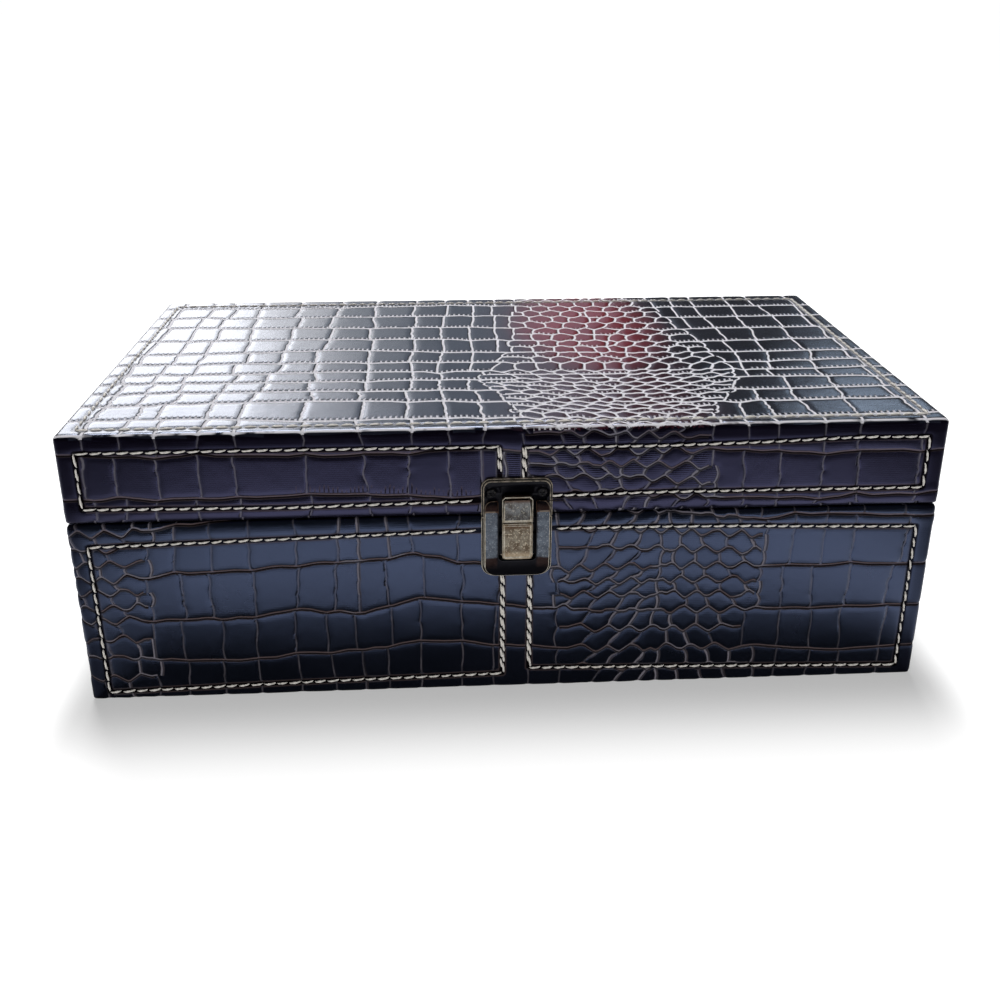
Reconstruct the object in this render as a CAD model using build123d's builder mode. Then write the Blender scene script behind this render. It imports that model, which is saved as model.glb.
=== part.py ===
from build123d import *
import os

# Keepsake box: boards wrapped in a sewn leather-look sheet, lined inside, with a lid
# on two butt hinges and a sliding-button latch. Millimetres. The origin is on the
# table under the middle of the box; the front faces -Y and +Z is up.

os.makedirs("parts", exist_ok=True)

# ---------------------------------------------------------------- driving dimensions
# Box, over the covering sheet
box_width = 350.0
box_depth = 190.0
base_height = 81.5
lid_height = 37.5
rim_gap = 0.5  # open line between base rim and lid rim

# Boards, sheet and lining
wall_board = 6.0
bottom_panel = 5.0
top_panel = 5.0
cover_sheet = 1.0
corner_round = 2.0  # upright corners and the edges of the lid top
turn_in = 15.0  # how far the sheet is folded in under the bottom
underside_card = 0.8
underside_inset = 3.0
lining_card = 1.5
lining_drop = 0.5  # the wall linings stop this far below the rims
panel_gap = 0.1  # between panels pushed in beside each other

# Seams
thread = 0.6
top_seam_front_inset = 6.0
top_seam_side_inset = 7.0
top_seam_back_inset = 8.5
wall_seam_inset = 7.5  # from the upright corners
lid_middle_seam_gap = 9.8  # between the two front rectangles of the lid
lid_middle_seam_offset = 0.4  # right of the middle
base_middle_seam_gap = 11.2  # between those of the base, under the latch
lid_seam_above_rim = 6.5
lid_seam_below_top = 8.0
base_seam_below_rim = 7.5
base_seam_above_table = 6.0
thread_clearance = 0.2  # where a seam stops beside a metal plate

# Latch
latch_offset = 2.3  # the latch sits this far right of the middle
latch_width = 28.4
latch_corner = 4.0
flange = 1.0  # back plate of the housing
housing_width = 26.0
housing_height = 26.6  # back plate, down from the rim
housing_corner = 5.0
rail_front = 5.0  # front of the rails, out from the sheet
rail_rise = 7.8  # rails above the base rim
rail_bevel = 3.6
rail_top_round = 3.0
rail_back_clearance = 0.5  # between the hasp plate and the rails in front of it
chin_rise = 10.6  # height of the slope under the button
chin_lip = 2.2  # thickness left at the bottom of the slope
edge_break = 0.6
window_width = 15.0
window_bottom = 18.0  # below the base rim
window_corner = 2.0
button_width = 12.2
button_height = 15.8
button_front = 6.0
button_drop = 0.8  # top of the button below the base rim
button_travel = 2.5
button_corner = 1.6
face_rim = 0.7  # width of the raised rim round button and nose
face_sink = 0.3  # depth of the face inside that rim
cap_thickness = 1.4
slider_thickness = 1.4
slider_wing = 2.4  # reach of the slider under each rail
slide_clearance = 0.3
tab_gap = 0.5  # between the nose and the button
nose_top = 10.4  # above the lid rim
nose_chamfer = 1.2
hasp_height = 16.4
hasp_plate = 2.0
hasp_floor = 1.2
hasp_lip = 1.6  # width of the band round the sunk face
lip_step = 0.8  # width of the outer step of the plate
tongue_width = 8.0
tongue_thickness = 1.0
tongue_reach = 6.5  # below the base rim
screw_recess = 3.0  # radius round each hasp screw
hasp_screw_spacing = 20.2
hasp_screw_drop = 6.0  # below the top of the hasp
scoop_width = 13.0
scoop_drop = 3.0

# Spring of the button
spring_wire = 0.35
spring_radius = 1.0  # to the middle of the wire
spring_length = 7.0
spring_turns = 5
spring_post = 3.0

# Screws
hasp_screw_head = 1.9
housing_screw_head = 1.7
hinge_screw_head = 1.8
screw_shank = 0.9
screw_length = 6.0
head_height = 0.7
cross_slot = 0.45
hole_clearance = 0.05
housing_screw_spacing = 10.0
housing_screw_drop = 11.5  # below the base rim

# Hinges
hinge_from_side = 65.0  # from the side of the box to the middle of a hinge
hinge_width = 30.0
hinge_leaf = 1.2
hinge_leaf_height = 17.0  # from the pin to the leaf's edge
hinge_leaf_corner = 3.0
barrel_radius = 2.0
barrel_clearance = 0.3
pin_radius = 1.0
pin_clearance = 0.05
knuckle_gap = 0.2
knuckle_count = 5
pin_head = 0.8
hinge_screw_spacing = 18.0
hinge_screw_offset = 10.5  # from the pin

# ---------------------------------------------------------------- levels and half sizes
half_width = box_width / 2
half_depth = box_depth / 2
base_rim = base_height
lid_rim = base_rim + rim_gap
box_top = lid_rim + lid_height
board_half_width = half_width - cover_sheet
board_half_depth = half_depth - cover_sheet
inner_half_width = board_half_width - wall_board
inner_half_depth = board_half_depth - wall_board
board_bottom = underside_card + cover_sheet
base_board_top = base_rim - cover_sheet
lid_board_bottom = lid_rim + cover_sheet
lid_board_top = box_top - cover_sheet
lid_wall_top = lid_board_top - top_panel
floor_level = board_bottom + bottom_panel

front_face = Plane.XZ.offset(half_depth)
back_face = Plane(origin=(0, half_depth, 0), x_dir=(-1, 0, 0), z_dir=(0, 1, 0))
left_face = Plane(origin=(-half_width, 0, 0), x_dir=(0, -1, 0), z_dir=(-1, 0, 0))
right_face = Plane(origin=(half_width, 0, 0), x_dir=(0, 1, 0), z_dir=(1, 0, 0))
latch_face = Plane(origin=(latch_offset, -half_depth, 0), x_dir=(1, 0, 0), z_dir=(0, -1, 0))

# Heights of the latch
housing_bottom = base_rim - housing_height
rail_top = base_rim + rail_rise
window_floor = base_rim - window_bottom
button_top = base_rim - button_drop
button_bottom = button_top - button_height
nose_bottom = button_top + tab_gap
nose_crown = lid_rim + nose_top
hasp_top = lid_rim + hasp_height
chin_top = housing_bottom + chin_rise
cap_back = button_front - cap_thickness
slider_front = flange + slide_clearance + slider_thickness
tongue_back = flange + slide_clearance
tongue_front = tongue_back + tongue_thickness
tongue_end = base_rim - tongue_reach
slider_top = tongue_end - slide_clearance - button_drop / 2
groove_bottom = window_floor - slider_wing / 2
slider_bottom = groove_bottom + button_travel + slide_clearance
spring_bottom = groove_bottom + spring_post
spring_top = spring_bottom + spring_length
spring_middle = flange + spring_radius + spring_wire

# Screw places, as distance across and height on the face that they enter
hasp_screw_level = hasp_top - hasp_screw_drop
hasp_screw_points = [(side * hasp_screw_spacing / 2, hasp_screw_level) for side in (-1, 1)]
housing_screw_level = base_rim - housing_screw_drop
housing_screw_points = [(side * housing_screw_spacing / 2, housing_screw_level) for side in (-1, 1)]
hinge_middles = {"left": hinge_from_side - half_width, "right": half_width - hinge_from_side}
pin_level = (base_rim + lid_rim) / 2
pin_out = barrel_radius + barrel_clearance  # pin line behind the back face
hinge_screw_x = [
    middle + side * hinge_screw_spacing / 2 for middle in hinge_middles.values() for side in (-1, 1)
]
base_hinge_points = [(x, pin_level - hinge_screw_offset) for x in hinge_screw_x]
lid_hinge_points = [(x, pin_level + hinge_screw_offset) for x in hinge_screw_x]
hole_radius = screw_shank + hole_clearance
hole_depth = screw_length + hole_clearance


# ---------------------------------------------------------------- helpers
def finish(piece, label):
    """Name a finished piece and write it to its own file."""
    piece.part.label = label
    export_step(piece.part, f"parts/{label}.step")


def drill(face, points, radius, depth):
    """Cut round blind holes into the piece being built, inward from a face."""
    with BuildSketch(face) as circles:
        with Locations(*points):
            Circle(radius)
    extrude(circles.sketch, amount=-depth, mode=Mode.SUBTRACT)


def panel(x_span, y_span, z_span, face=None, points=(), depth=0.0):
    """A flat board between two limits on each axis, with screw holes in one face."""
    with BuildPart() as made:
        with BuildSketch(Plane.XY.offset(z_span[0])):
            with Locations(((x_span[0] + x_span[1]) / 2, (y_span[0] + y_span[1]) / 2)):
                Rectangle(x_span[1] - x_span[0], y_span[1] - y_span[0])
        extrude(amount=z_span[1] - z_span[0])
        if points:
            drill(face, points, hole_radius, depth)
    return made


def four_walls(outer_x, outer_y, thickness, z_span, gap, front_holes=None, back_holes=None):
    """Front and back boards at full width, with the left and right boards between them."""
    inner_y = outer_y - thickness
    side_y = inner_y - gap
    front_holes = front_holes or {}
    back_holes = back_holes or {}
    return {
        "front": panel((-outer_x, outer_x), (-outer_y, -inner_y), z_span, **front_holes),
        "back": panel((-outer_x, outer_x), (inner_y, outer_y), z_span, **back_holes),
        "left": panel((-outer_x, thickness - outer_x), (-side_y, side_y), z_span),
        "right": panel((outer_x - thickness, outer_x), (-side_y, side_y), z_span),
    }


def span(middle, width):
    """Both ends of a stretch of a width about its middle."""
    return (middle - width / 2, middle + width / 2)


def seam_loop(face, x_span, y_span, plates=()):
    """One rectangle of thread lying on a face, cut away under any metal plate."""
    width = x_span[1] - x_span[0]
    height = y_span[1] - y_span[0]
    with BuildSketch(face) as loop:
        with Locations(((x_span[0] + x_span[1]) / 2, (y_span[0] + y_span[1]) / 2)):
            Rectangle(width + thread, height + thread)
            Rectangle(width - thread, height - thread, mode=Mode.SUBTRACT)
        for plate_x, plate_y in plates:
            with Locations(((plate_x[0] + plate_x[1]) / 2, (plate_y[0] + plate_y[1]) / 2)):
                Rectangle(
                    plate_x[1] - plate_x[0] + 2 * thread_clearance,
                    plate_y[1] - plate_y[0] + 2 * thread_clearance,
                    mode=Mode.SUBTRACT,
                )
    extrude(loop.sketch, amount=thread)


def screws(face, points, head_radius, head_level, sunk=False):
    """Cross-head screws entering a face; sunk heads lie below their level, the others on it."""
    with BuildPart() as made:
        with BuildSketch(face.offset(head_level)):
            with Locations(*points):
                Circle(screw_shank if sunk else head_radius)
        extrude(amount=-head_height if sunk else head_height)
        if sunk:
            for x, y in points:
                with BuildSketch(face.offset(head_level), mode=Mode.PRIVATE) as rim:
                    with Locations((x, y)):
                        Circle(head_radius)
                with BuildSketch(face.offset(head_level - head_height), mode=Mode.PRIVATE) as neck:
                    with Locations((x, y)):
                        Circle(screw_shank)
                loft([rim.sketch.face(), neck.sketch.face()])
        else:
            front_rims = made.faces().sort_by(Axis(face.origin, face.z_dir))[-len(points):]
            fillet([edge for rim_face in front_rims for edge in rim_face.edges()], head_height / 2)
        with BuildSketch(face.offset(head_level)):
            with Locations(*points):
                Circle(screw_shank)
        extrude(amount=-(screw_length + head_level))
        slot_level = head_level if sunk else head_level + head_height
        with BuildSketch(face.offset(slot_level)):
            with Locations(*points):
                Rectangle(1.2 * head_radius, cross_slot)
                Rectangle(cross_slot, 1.2 * head_radius)
        extrude(amount=-0.6 * head_height, mode=Mode.SUBTRACT)
    return made


# ---------------------------------------------------------------- base boards and linings
base_walls = four_walls(
    board_half_width,
    board_half_depth,
    wall_board,
    (board_bottom, base_board_top),
    0.0,
    {"face": latch_face, "points": housing_screw_points, "depth": hole_depth},
    {"face": back_face, "points": base_hinge_points, "depth": hole_depth},
)
for side, wall in base_walls.items():
    finish(wall, f"base_{side}_board")

bottom_board = panel(
    (panel_gap - inner_half_width, inner_half_width - panel_gap),
    (panel_gap - inner_half_depth, inner_half_depth - panel_gap),
    (board_bottom, floor_level),
)
finish(bottom_board, "bottom_board")

base_floor_lining = panel(
    (panel_gap - inner_half_width, inner_half_width - panel_gap),
    (panel_gap - inner_half_depth, inner_half_depth - panel_gap),
    (floor_level, floor_level + lining_card),
)
finish(base_floor_lining, "base_floor_lining")

base_linings = four_walls(
    inner_half_width,
    inner_half_depth,
    lining_card,
    (floor_level + lining_card, base_rim - lining_drop),
    panel_gap,
)
for side, lining in base_linings.items():
    finish(lining, f"base_{side}_lining")

with BuildPart() as underside_sheet:
    with BuildSketch():
        Rectangle(box_width - 2 * underside_inset, box_depth - 2 * underside_inset)
    extrude(amount=underside_card)
    with BuildSketch(Plane.XY.offset(underside_card)):
        Rectangle(
            box_width - 2 * (turn_in + panel_gap),
            box_depth - 2 * (turn_in + panel_gap),
        )
    extrude(amount=cover_sheet)
finish(underside_sheet, "underside_sheet")

# The sheet round the base, folded in over the rim and under the bottom
with BuildPart() as base_cover:
    with BuildSketch(Plane.XY.offset(underside_card)):
        RectangleRounded(box_width, box_depth, corner_round)
    extrude(amount=base_rim - underside_card)
    fillet(base_cover.faces().sort_by(Axis.Z)[-1].edges(), cover_sheet)
    with BuildSketch(Plane.XY.offset(board_bottom)):
        Rectangle(2 * board_half_width, 2 * board_half_depth)
    extrude(amount=base_board_top - board_bottom, mode=Mode.SUBTRACT)
    with BuildSketch(Plane.XY.offset(base_board_top)):
        Rectangle(2 * inner_half_width, 2 * inner_half_depth)
    extrude(amount=cover_sheet, mode=Mode.SUBTRACT)
    with BuildSketch(Plane.XY.offset(underside_card)):
        Rectangle(box_width - 2 * turn_in, box_depth - 2 * turn_in)
    extrude(amount=cover_sheet, mode=Mode.SUBTRACT)
    drill(latch_face, housing_screw_points, hole_radius, cover_sheet)
    drill(back_face, base_hinge_points, hole_radius, cover_sheet)
finish(base_cover, "base_cover")

# ---------------------------------------------------------------- lid boards and linings
lid_walls = four_walls(
    board_half_width,
    board_half_depth,
    wall_board,
    (lid_board_bottom, lid_wall_top),
    0.0,
    {"face": latch_face, "points": hasp_screw_points, "depth": hole_depth},
    {"face": back_face, "points": lid_hinge_points, "depth": hole_depth},
)
for side, wall in lid_walls.items():
    finish(wall, f"lid_{side}_board")

lid_top_board = panel(
    (-board_half_width, board_half_width),
    (-board_half_depth, board_half_depth),
    (lid_wall_top, lid_board_top),
)
finish(lid_top_board, "lid_top_board")

lid_top_lining = panel(
    (panel_gap - inner_half_width, inner_half_width - panel_gap),
    (panel_gap - inner_half_depth, inner_half_depth - panel_gap),
    (lid_wall_top - lining_card, lid_wall_top),
)
finish(lid_top_lining, "lid_top_lining")

lid_linings = four_walls(
    inner_half_width,
    inner_half_depth,
    lining_card,
    (lid_rim + lining_drop, lid_wall_top - lining_card),
    panel_gap,
)
for side, lining in lid_linings.items():
    finish(lining, f"lid_{side}_lining")

# The sheet over the lid, folded in over its rim
with BuildPart() as lid_cover:
    with BuildSketch(Plane.XY.offset(lid_rim)):
        RectangleRounded(box_width, box_depth, corner_round)
    extrude(amount=lid_height)
    fillet(lid_cover.faces().sort_by(Axis.Z)[-1].edges(), corner_round)
    fillet(lid_cover.faces().sort_by(Axis.Z)[0].edges(), cover_sheet)
    with BuildSketch(Plane.XY.offset(lid_board_bottom)):
        Rectangle(2 * board_half_width, 2 * board_half_depth)
    extrude(amount=lid_board_top - lid_board_bottom, mode=Mode.SUBTRACT)
    with BuildSketch(Plane.XY.offset(lid_rim)):
        Rectangle(2 * inner_half_width, 2 * inner_half_depth)
    extrude(amount=cover_sheet, mode=Mode.SUBTRACT)
    drill(latch_face, hasp_screw_points, hole_radius, cover_sheet)
    drill(back_face, lid_hinge_points, hole_radius, cover_sheet)
finish(lid_cover, "lid_cover")

# ---------------------------------------------------------------- seams
seam_edge = half_width - wall_seam_inset
side_seam_edge = half_depth - wall_seam_inset
lid_seam = (lid_rim + lid_seam_above_rim, box_top - lid_seam_below_top)
base_seam = (base_seam_above_table, base_rim - base_seam_below_rim)
lid_middle_seams = span(lid_middle_seam_offset, lid_middle_seam_gap)
base_middle_seams = span(latch_offset, base_middle_seam_gap)
lid_front_spans = [(-seam_edge, lid_middle_seams[0]), (lid_middle_seams[1], seam_edge)]
base_front_spans = [(-seam_edge, base_middle_seams[0]), (base_middle_seams[1], seam_edge)]
housing_plate = (span(latch_offset, latch_width), (housing_bottom, base_rim))
hasp_plates = (span(latch_offset, latch_width), (lid_rim, hasp_top))
leaf_reach = hinge_leaf_height
lid_leaves = [(span(x, hinge_width), (pin_level, pin_level + leaf_reach)) for x in hinge_middles.values()]
base_leaves = [(span(x, hinge_width), (pin_level - leaf_reach, pin_level)) for x in hinge_middles.values()]

with BuildPart() as lid_stitching:
    seam_loop(
        Plane.XY.offset(box_top),
        (top_seam_side_inset - half_width, half_width - top_seam_side_inset),
        (top_seam_front_inset - half_depth, half_depth - top_seam_back_inset),
    )
    for x_span in lid_front_spans:
        seam_loop(front_face, x_span, lid_seam, [hasp_plates])
    seam_loop(back_face, (-seam_edge, seam_edge), lid_seam, lid_leaves)
    seam_loop(left_face, (-side_seam_edge, side_seam_edge), lid_seam)
    seam_loop(right_face, (-side_seam_edge, side_seam_edge), lid_seam)
finish(lid_stitching, "lid_stitching")

with BuildPart() as base_stitching:
    for x_span in base_front_spans:
        seam_loop(front_face, x_span, base_seam, [housing_plate])
    seam_loop(back_face, (-seam_edge, seam_edge), base_seam, base_leaves)
    seam_loop(left_face, (-side_seam_edge, side_seam_edge), base_seam)
    seam_loop(right_face, (-side_seam_edge, side_seam_edge), base_seam)
finish(base_stitching, "base_stitching")

# ---------------------------------------------------------------- latch
rail_back = hasp_plate + rail_back_clearance
latch_side = Plane(origin=(latch_offset, -half_depth, 0), x_dir=(0, -1, 0), z_dir=(-1, 0, 0))

with BuildPart() as latch_housing:
    # Back plate on the sheet
    with BuildSketch(latch_face) as back_plate:
        with Locations((0, housing_bottom)):
            Rectangle(latch_width, housing_height, align=(Align.CENTER, Align.MIN))
        fillet(back_plate.vertices().group_by(Axis.Y)[0], housing_corner)
    extrude(amount=flange)
    # U frame: two rails and the chin that joins them
    frame_bottom = housing_bottom + edge_break
    with BuildSketch(latch_face.offset(flange)) as frame:
        with Locations((0, frame_bottom)):
            Rectangle(housing_width, rail_top - frame_bottom, align=(Align.CENTER, Align.MIN))
        fillet(frame.vertices().group_by(Axis.Y)[0], housing_corner)
        fillet(frame.vertices().group_by(Axis.Y)[-1], rail_top_round)
        with BuildSketch(mode=Mode.PRIVATE) as window:
            with Locations((0, window_floor)):
                Rectangle(window_width, rail_top, align=(Align.CENTER, Align.MIN))
            fillet(window.vertices().group_by(Axis.Y)[0], window_corner)
        add(window.sketch, mode=Mode.SUBTRACT)
    extrude(amount=rail_front - flange)
    # Slope of the chin and bevels of the rail tops, cut across the whole width
    with BuildSketch(latch_side):
        with BuildLine():
            Polyline(
                (chin_lip, housing_bottom),
                (rail_front, chin_top),
                (rail_front + flange, chin_top),
                (rail_front + flange, housing_bottom),
                close=True,
            )
        make_face()
        with BuildLine():
            Polyline(
                (rail_back, rail_top),
                (rail_front, rail_top - rail_bevel),
                (rail_front + flange, rail_top - rail_bevel),
                (rail_front + flange, rail_top),
                close=True,
            )
        make_face()
    extrude(amount=housing_width, both=True, mode=Mode.SUBTRACT)
    # Space for the hasp plate behind the rails
    with BuildSketch(latch_face):
        with Locations((0, base_rim)):
            Rectangle(latch_width, 2 * rail_rise, align=(Align.CENTER, Align.MIN))
    extrude(amount=rail_back, mode=Mode.SUBTRACT)
    # Groove for the wings of the slider, open upward to the rim
    with BuildSketch(latch_face.offset(flange)):
        with Locations((0, groove_bottom)):
            Rectangle(
                button_width + 2 * (slider_wing + slide_clearance),
                base_rim - groove_bottom,
                align=(Align.CENTER, Align.MIN),
            )
    extrude(amount=slider_thickness + 2 * slide_clearance, mode=Mode.SUBTRACT)
    # Post under the spring
    with BuildSketch(latch_face.offset(flange)):
        with Locations((0, groove_bottom)):
            Rectangle(2 * spring_radius, spring_post, align=(Align.CENTER, Align.MIN))
    extrude(amount=2 * (spring_radius + spring_wire))
    # Sunk seats of the two screws under the slider
    for x, y in housing_screw_points:
        with BuildSketch(latch_face.offset(flange), mode=Mode.PRIVATE) as seat_mouth:
            with Locations((x, y)):
                Circle(housing_screw_head + hole_clearance)
        with BuildSketch(latch_face.offset(flange - head_height), mode=Mode.PRIVATE) as seat_neck:
            with Locations((x, y)):
                Circle(hole_radius)
        loft([seat_mouth.sketch.face(), seat_neck.sketch.face()], mode=Mode.SUBTRACT)
    drill(latch_face.offset(flange), housing_screw_points, hole_radius, flange)
finish(latch_housing, "latch_housing")

housing_screws = screws(latch_face, housing_screw_points, housing_screw_head, flange, sunk=True)
finish(housing_screws, "housing_screws")

with BuildPart() as latch_button:
    # Slider plate with wings under the rails
    with BuildSketch(latch_face.offset(flange + slide_clearance)):
        with Locations((0, slider_bottom)):
            Rectangle(
                button_width + 2 * slider_wing,
                slider_top - slider_bottom,
                align=(Align.CENTER, Align.MIN),
            )
    extrude(amount=slider_thickness)
    # Body in the window and the cap in front of it
    body_bottom = window_floor + button_travel + slide_clearance
    with BuildSketch(latch_face.offset(slider_front)):
        with Locations((0, body_bottom)):
            Rectangle(button_width, button_top - body_bottom, align=(Align.CENTER, Align.MIN))
    extrude(amount=cap_back - slider_front)
    with BuildSketch(latch_face.offset(cap_back)) as cap:
        with Locations((0, button_bottom)):
            Rectangle(button_width, button_height, align=(Align.CENTER, Align.MIN))
        fillet(cap.vertices().group_by(Axis.Y)[0], button_corner)
    extrude(amount=cap_thickness)
    with BuildSketch(latch_face.offset(button_front)) as sunk_face:
        with Locations((0, button_bottom + face_rim)):
            Rectangle(
                button_width - 2 * face_rim,
                button_height - 2 * face_rim,
                align=(Align.CENTER, Align.MIN),
            )
        fillet(sunk_face.vertices().group_by(Axis.Y)[0], button_corner - face_rim)
    extrude(amount=-face_sink, mode=Mode.SUBTRACT)
    # Slot for the spring, open at the bottom
    with BuildSketch(latch_face.offset(flange)):
        with Locations((0, slider_bottom)):
            Rectangle(
                2 * (spring_radius + spring_wire + slide_clearance),
                spring_top - slider_bottom,
                align=(Align.CENTER, Align.MIN),
            )
    extrude(amount=2 * (spring_radius + spring_wire) + slide_clearance, mode=Mode.SUBTRACT)
finish(latch_button, "latch_button")

with BuildPart() as latch_spring:
    with BuildLine() as coil:
        Helix(
            pitch=(spring_length - spring_wire) / spring_turns,
            height=spring_length - spring_wire,
            radius=spring_radius,
            center=(latch_offset, -half_depth - spring_middle, spring_bottom + spring_wire / 2),
        )
    with BuildSketch(Plane(origin=coil.line @ 0, z_dir=coil.line % 0)):
        Circle(spring_wire / 2)
    sweep(is_frenet=True)
finish(latch_spring, "latch_spring")

with BuildPart() as latch_hasp:
    # Plate: a low outer step and the raised band inside it
    with BuildSketch(latch_face) as plate:
        with Locations((0, lid_rim)):
            Rectangle(latch_width, hasp_height, align=(Align.CENTER, Align.MIN))
        fillet(plate.vertices().group_by(Axis.Y)[-1], latch_corner)
    extrude(amount=hasp_floor)
    with BuildSketch(latch_face.offset(hasp_floor)) as band:
        with Locations((0, lid_rim)):
            Rectangle(
                latch_width - 2 * lip_step, hasp_height - lip_step, align=(Align.CENTER, Align.MIN)
            )
        fillet(band.vertices().group_by(Axis.Y)[-1], latch_corner - lip_step)
    extrude(amount=hasp_plate - hasp_floor)
    # Sunk face: a field beside the nose, a scoop over it and a round recess at each screw
    field_width = latch_width - 2 * (lip_step + hasp_lip)
    with BuildSketch(latch_face.offset(hasp_floor)):
        with Locations((0, lid_rim)):
            Rectangle(field_width, hasp_screw_level - lid_rim, align=(Align.CENTER, Align.MIN))
            Rectangle(scoop_width, hasp_height - scoop_drop, align=(Align.CENTER, Align.MIN))
        with Locations(*hasp_screw_points):
            Circle(screw_recess)
    extrude(amount=hasp_plate, mode=Mode.SUBTRACT)
    # Root of the nose on the plate, then the nose over the button with its sunk face
    with BuildSketch(latch_face):
        with Locations((0, lid_rim)):
            Rectangle(tongue_width, nose_top - nose_chamfer, align=(Align.CENTER, Align.MIN))
    extrude(amount=tongue_front)
    with BuildSketch(latch_face.offset(tongue_back)) as nose:
        with Locations((0, nose_bottom)):
            Rectangle(button_width, nose_crown - nose_bottom, align=(Align.CENTER, Align.MIN))
        chamfer(nose.vertices().group_by(Axis.Y)[-1], nose_chamfer)
    extrude(amount=button_front - tongue_back)
    with BuildSketch(latch_face.offset(button_front)) as nose_face:
        with Locations((0, nose_bottom + face_rim)):
            Rectangle(
                button_width - 2 * face_rim,
                nose_crown - nose_bottom - 2 * face_rim,
                align=(Align.CENTER, Align.MIN),
            )
        chamfer(nose_face.vertices().group_by(Axis.Y)[-1], nose_chamfer - face_rim / 2)
    extrude(amount=-face_sink, mode=Mode.SUBTRACT)
    # Tongue that drops into the housing behind the button
    with BuildSketch(latch_face.offset(tongue_back)) as tongue:
        with Locations((0, tongue_end)):
            Rectangle(tongue_width, nose_crown - tongue_end, align=(Align.CENTER, Align.MIN))
        chamfer(tongue.vertices().group_by(Axis.Y)[0], tongue_thickness)
    extrude(amount=tongue_thickness)
    drill(latch_face.offset(hasp_floor), hasp_screw_points, hole_radius, hasp_floor)
finish(latch_hasp, "latch_hasp")

hasp_screws = screws(latch_face, hasp_screw_points, hasp_screw_head, hasp_floor)
finish(hasp_screws, "hasp_screws")


# ---------------------------------------------------------------- hinges
knuckle_pitch = hinge_width / knuckle_count
pin_y = half_depth + pin_out


def hinge_half(middle, up, knuckles):
    """One leaf on the back face with its knuckles; up is 1 for the lid leaf, -1 for the base leaf."""
    leaf_start = barrel_radius + barrel_clearance
    knuckle_x = [middle + (index + 0.5) * knuckle_pitch - hinge_width / 2 for index in knuckles]
    with BuildPart() as made:
        with BuildSketch(back_face) as leaf:
            with Locations((-middle, pin_level + up * (leaf_start + hinge_leaf_height) / 2)):
                Rectangle(hinge_width, hinge_leaf_height - leaf_start)
            fillet(leaf.vertices().group_by(Axis.Y)[-1 if up > 0 else 0], hinge_leaf_corner)
            for x in knuckle_x:
                with Locations((-x, pin_level + up * leaf_start / 2)):
                    Rectangle(knuckle_pitch - knuckle_gap, leaf_start)
        extrude(amount=hinge_leaf)
        for x in knuckle_x:
            with BuildSketch(Plane.YZ.offset(x - (knuckle_pitch - knuckle_gap) / 2)):
                with Locations((pin_y, pin_level)):
                    Circle(barrel_radius)
            extrude(amount=knuckle_pitch - knuckle_gap)
        with BuildSketch(Plane.YZ.offset(middle)):
            with Locations((pin_y, pin_level)):
                Circle(pin_radius + pin_clearance)
        extrude(amount=hinge_width, both=True, mode=Mode.SUBTRACT)
        screw_points = [
            (-middle + side * hinge_screw_spacing / 2, pin_level + up * hinge_screw_offset)
            for side in (-1, 1)
        ]
        drill(back_face.offset(hinge_leaf), screw_points, hole_radius, hinge_leaf)
    return made


def hinge_pin(middle):
    """A pin through all the knuckles, with a flat head at each end."""
    half_span = hinge_width / 2
    with BuildPart() as made:
        with BuildSketch(Plane.YZ.offset(middle)):
            with Locations((pin_y, pin_level)):
                Circle(pin_radius)
        extrude(amount=half_span + knuckle_gap, both=True)
        for end in (-1, 1):
            with BuildSketch(Plane.YZ.offset(middle + end * half_span)):
                with Locations((pin_y, pin_level)):
                    Circle(barrel_radius)
            extrude(amount=end * pin_head)
    return made


for side, middle in hinge_middles.items():
    finish(hinge_half(middle, -1, range(0, knuckle_count, 2)), f"{side}_hinge_base_leaf")
    finish(hinge_half(middle, 1, range(1, knuckle_count, 2)), f"{side}_hinge_lid_leaf")
    finish(hinge_pin(middle), f"{side}_hinge_pin")

base_hinge_screws = screws(back_face, base_hinge_points, hinge_screw_head, hinge_leaf)
finish(base_hinge_screws, "base_hinge_screws")
lid_hinge_screws = screws(back_face, lid_hinge_points, hinge_screw_head, hinge_leaf)
finish(lid_hinge_screws, "lid_hinge_screws")
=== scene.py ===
# %% [markdown]
# # A stationery box in embossed leatherette
#
# The real object is a wooden box for papers, wrapped in dark leatherette that is
# pressed with a crocodile pattern, sewn with cream thread and shut by a small
# push-button latch. The CAD model already holds every board, sheet, hinge and
# screw in its place. This lesson dresses it: the leatherette gets its scales, the
# seams get real stitches, the metal gets worn edges with a painted highlight and
# the room gets soft light.
# Everything is in metres, in the same frame as the CAD.

# %% Load the frame
import functools
import math

import bmesh
import bpy
import numpy as np
from mathutils import Matrix, Vector


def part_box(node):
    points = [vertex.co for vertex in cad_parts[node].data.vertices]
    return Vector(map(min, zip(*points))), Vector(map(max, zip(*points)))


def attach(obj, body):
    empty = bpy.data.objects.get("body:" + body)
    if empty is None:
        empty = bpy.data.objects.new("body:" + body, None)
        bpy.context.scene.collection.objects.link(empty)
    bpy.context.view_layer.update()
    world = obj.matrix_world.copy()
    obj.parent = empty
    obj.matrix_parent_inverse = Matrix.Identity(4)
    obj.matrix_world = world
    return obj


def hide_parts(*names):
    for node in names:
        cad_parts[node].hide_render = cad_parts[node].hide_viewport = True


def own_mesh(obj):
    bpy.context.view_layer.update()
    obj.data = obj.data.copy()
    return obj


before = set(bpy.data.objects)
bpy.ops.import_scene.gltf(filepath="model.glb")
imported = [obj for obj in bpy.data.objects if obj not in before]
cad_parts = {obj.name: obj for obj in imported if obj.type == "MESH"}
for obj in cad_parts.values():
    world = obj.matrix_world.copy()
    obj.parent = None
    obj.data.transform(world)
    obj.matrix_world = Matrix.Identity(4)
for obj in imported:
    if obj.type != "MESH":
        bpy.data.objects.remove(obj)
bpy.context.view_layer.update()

MM = 0.001

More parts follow.
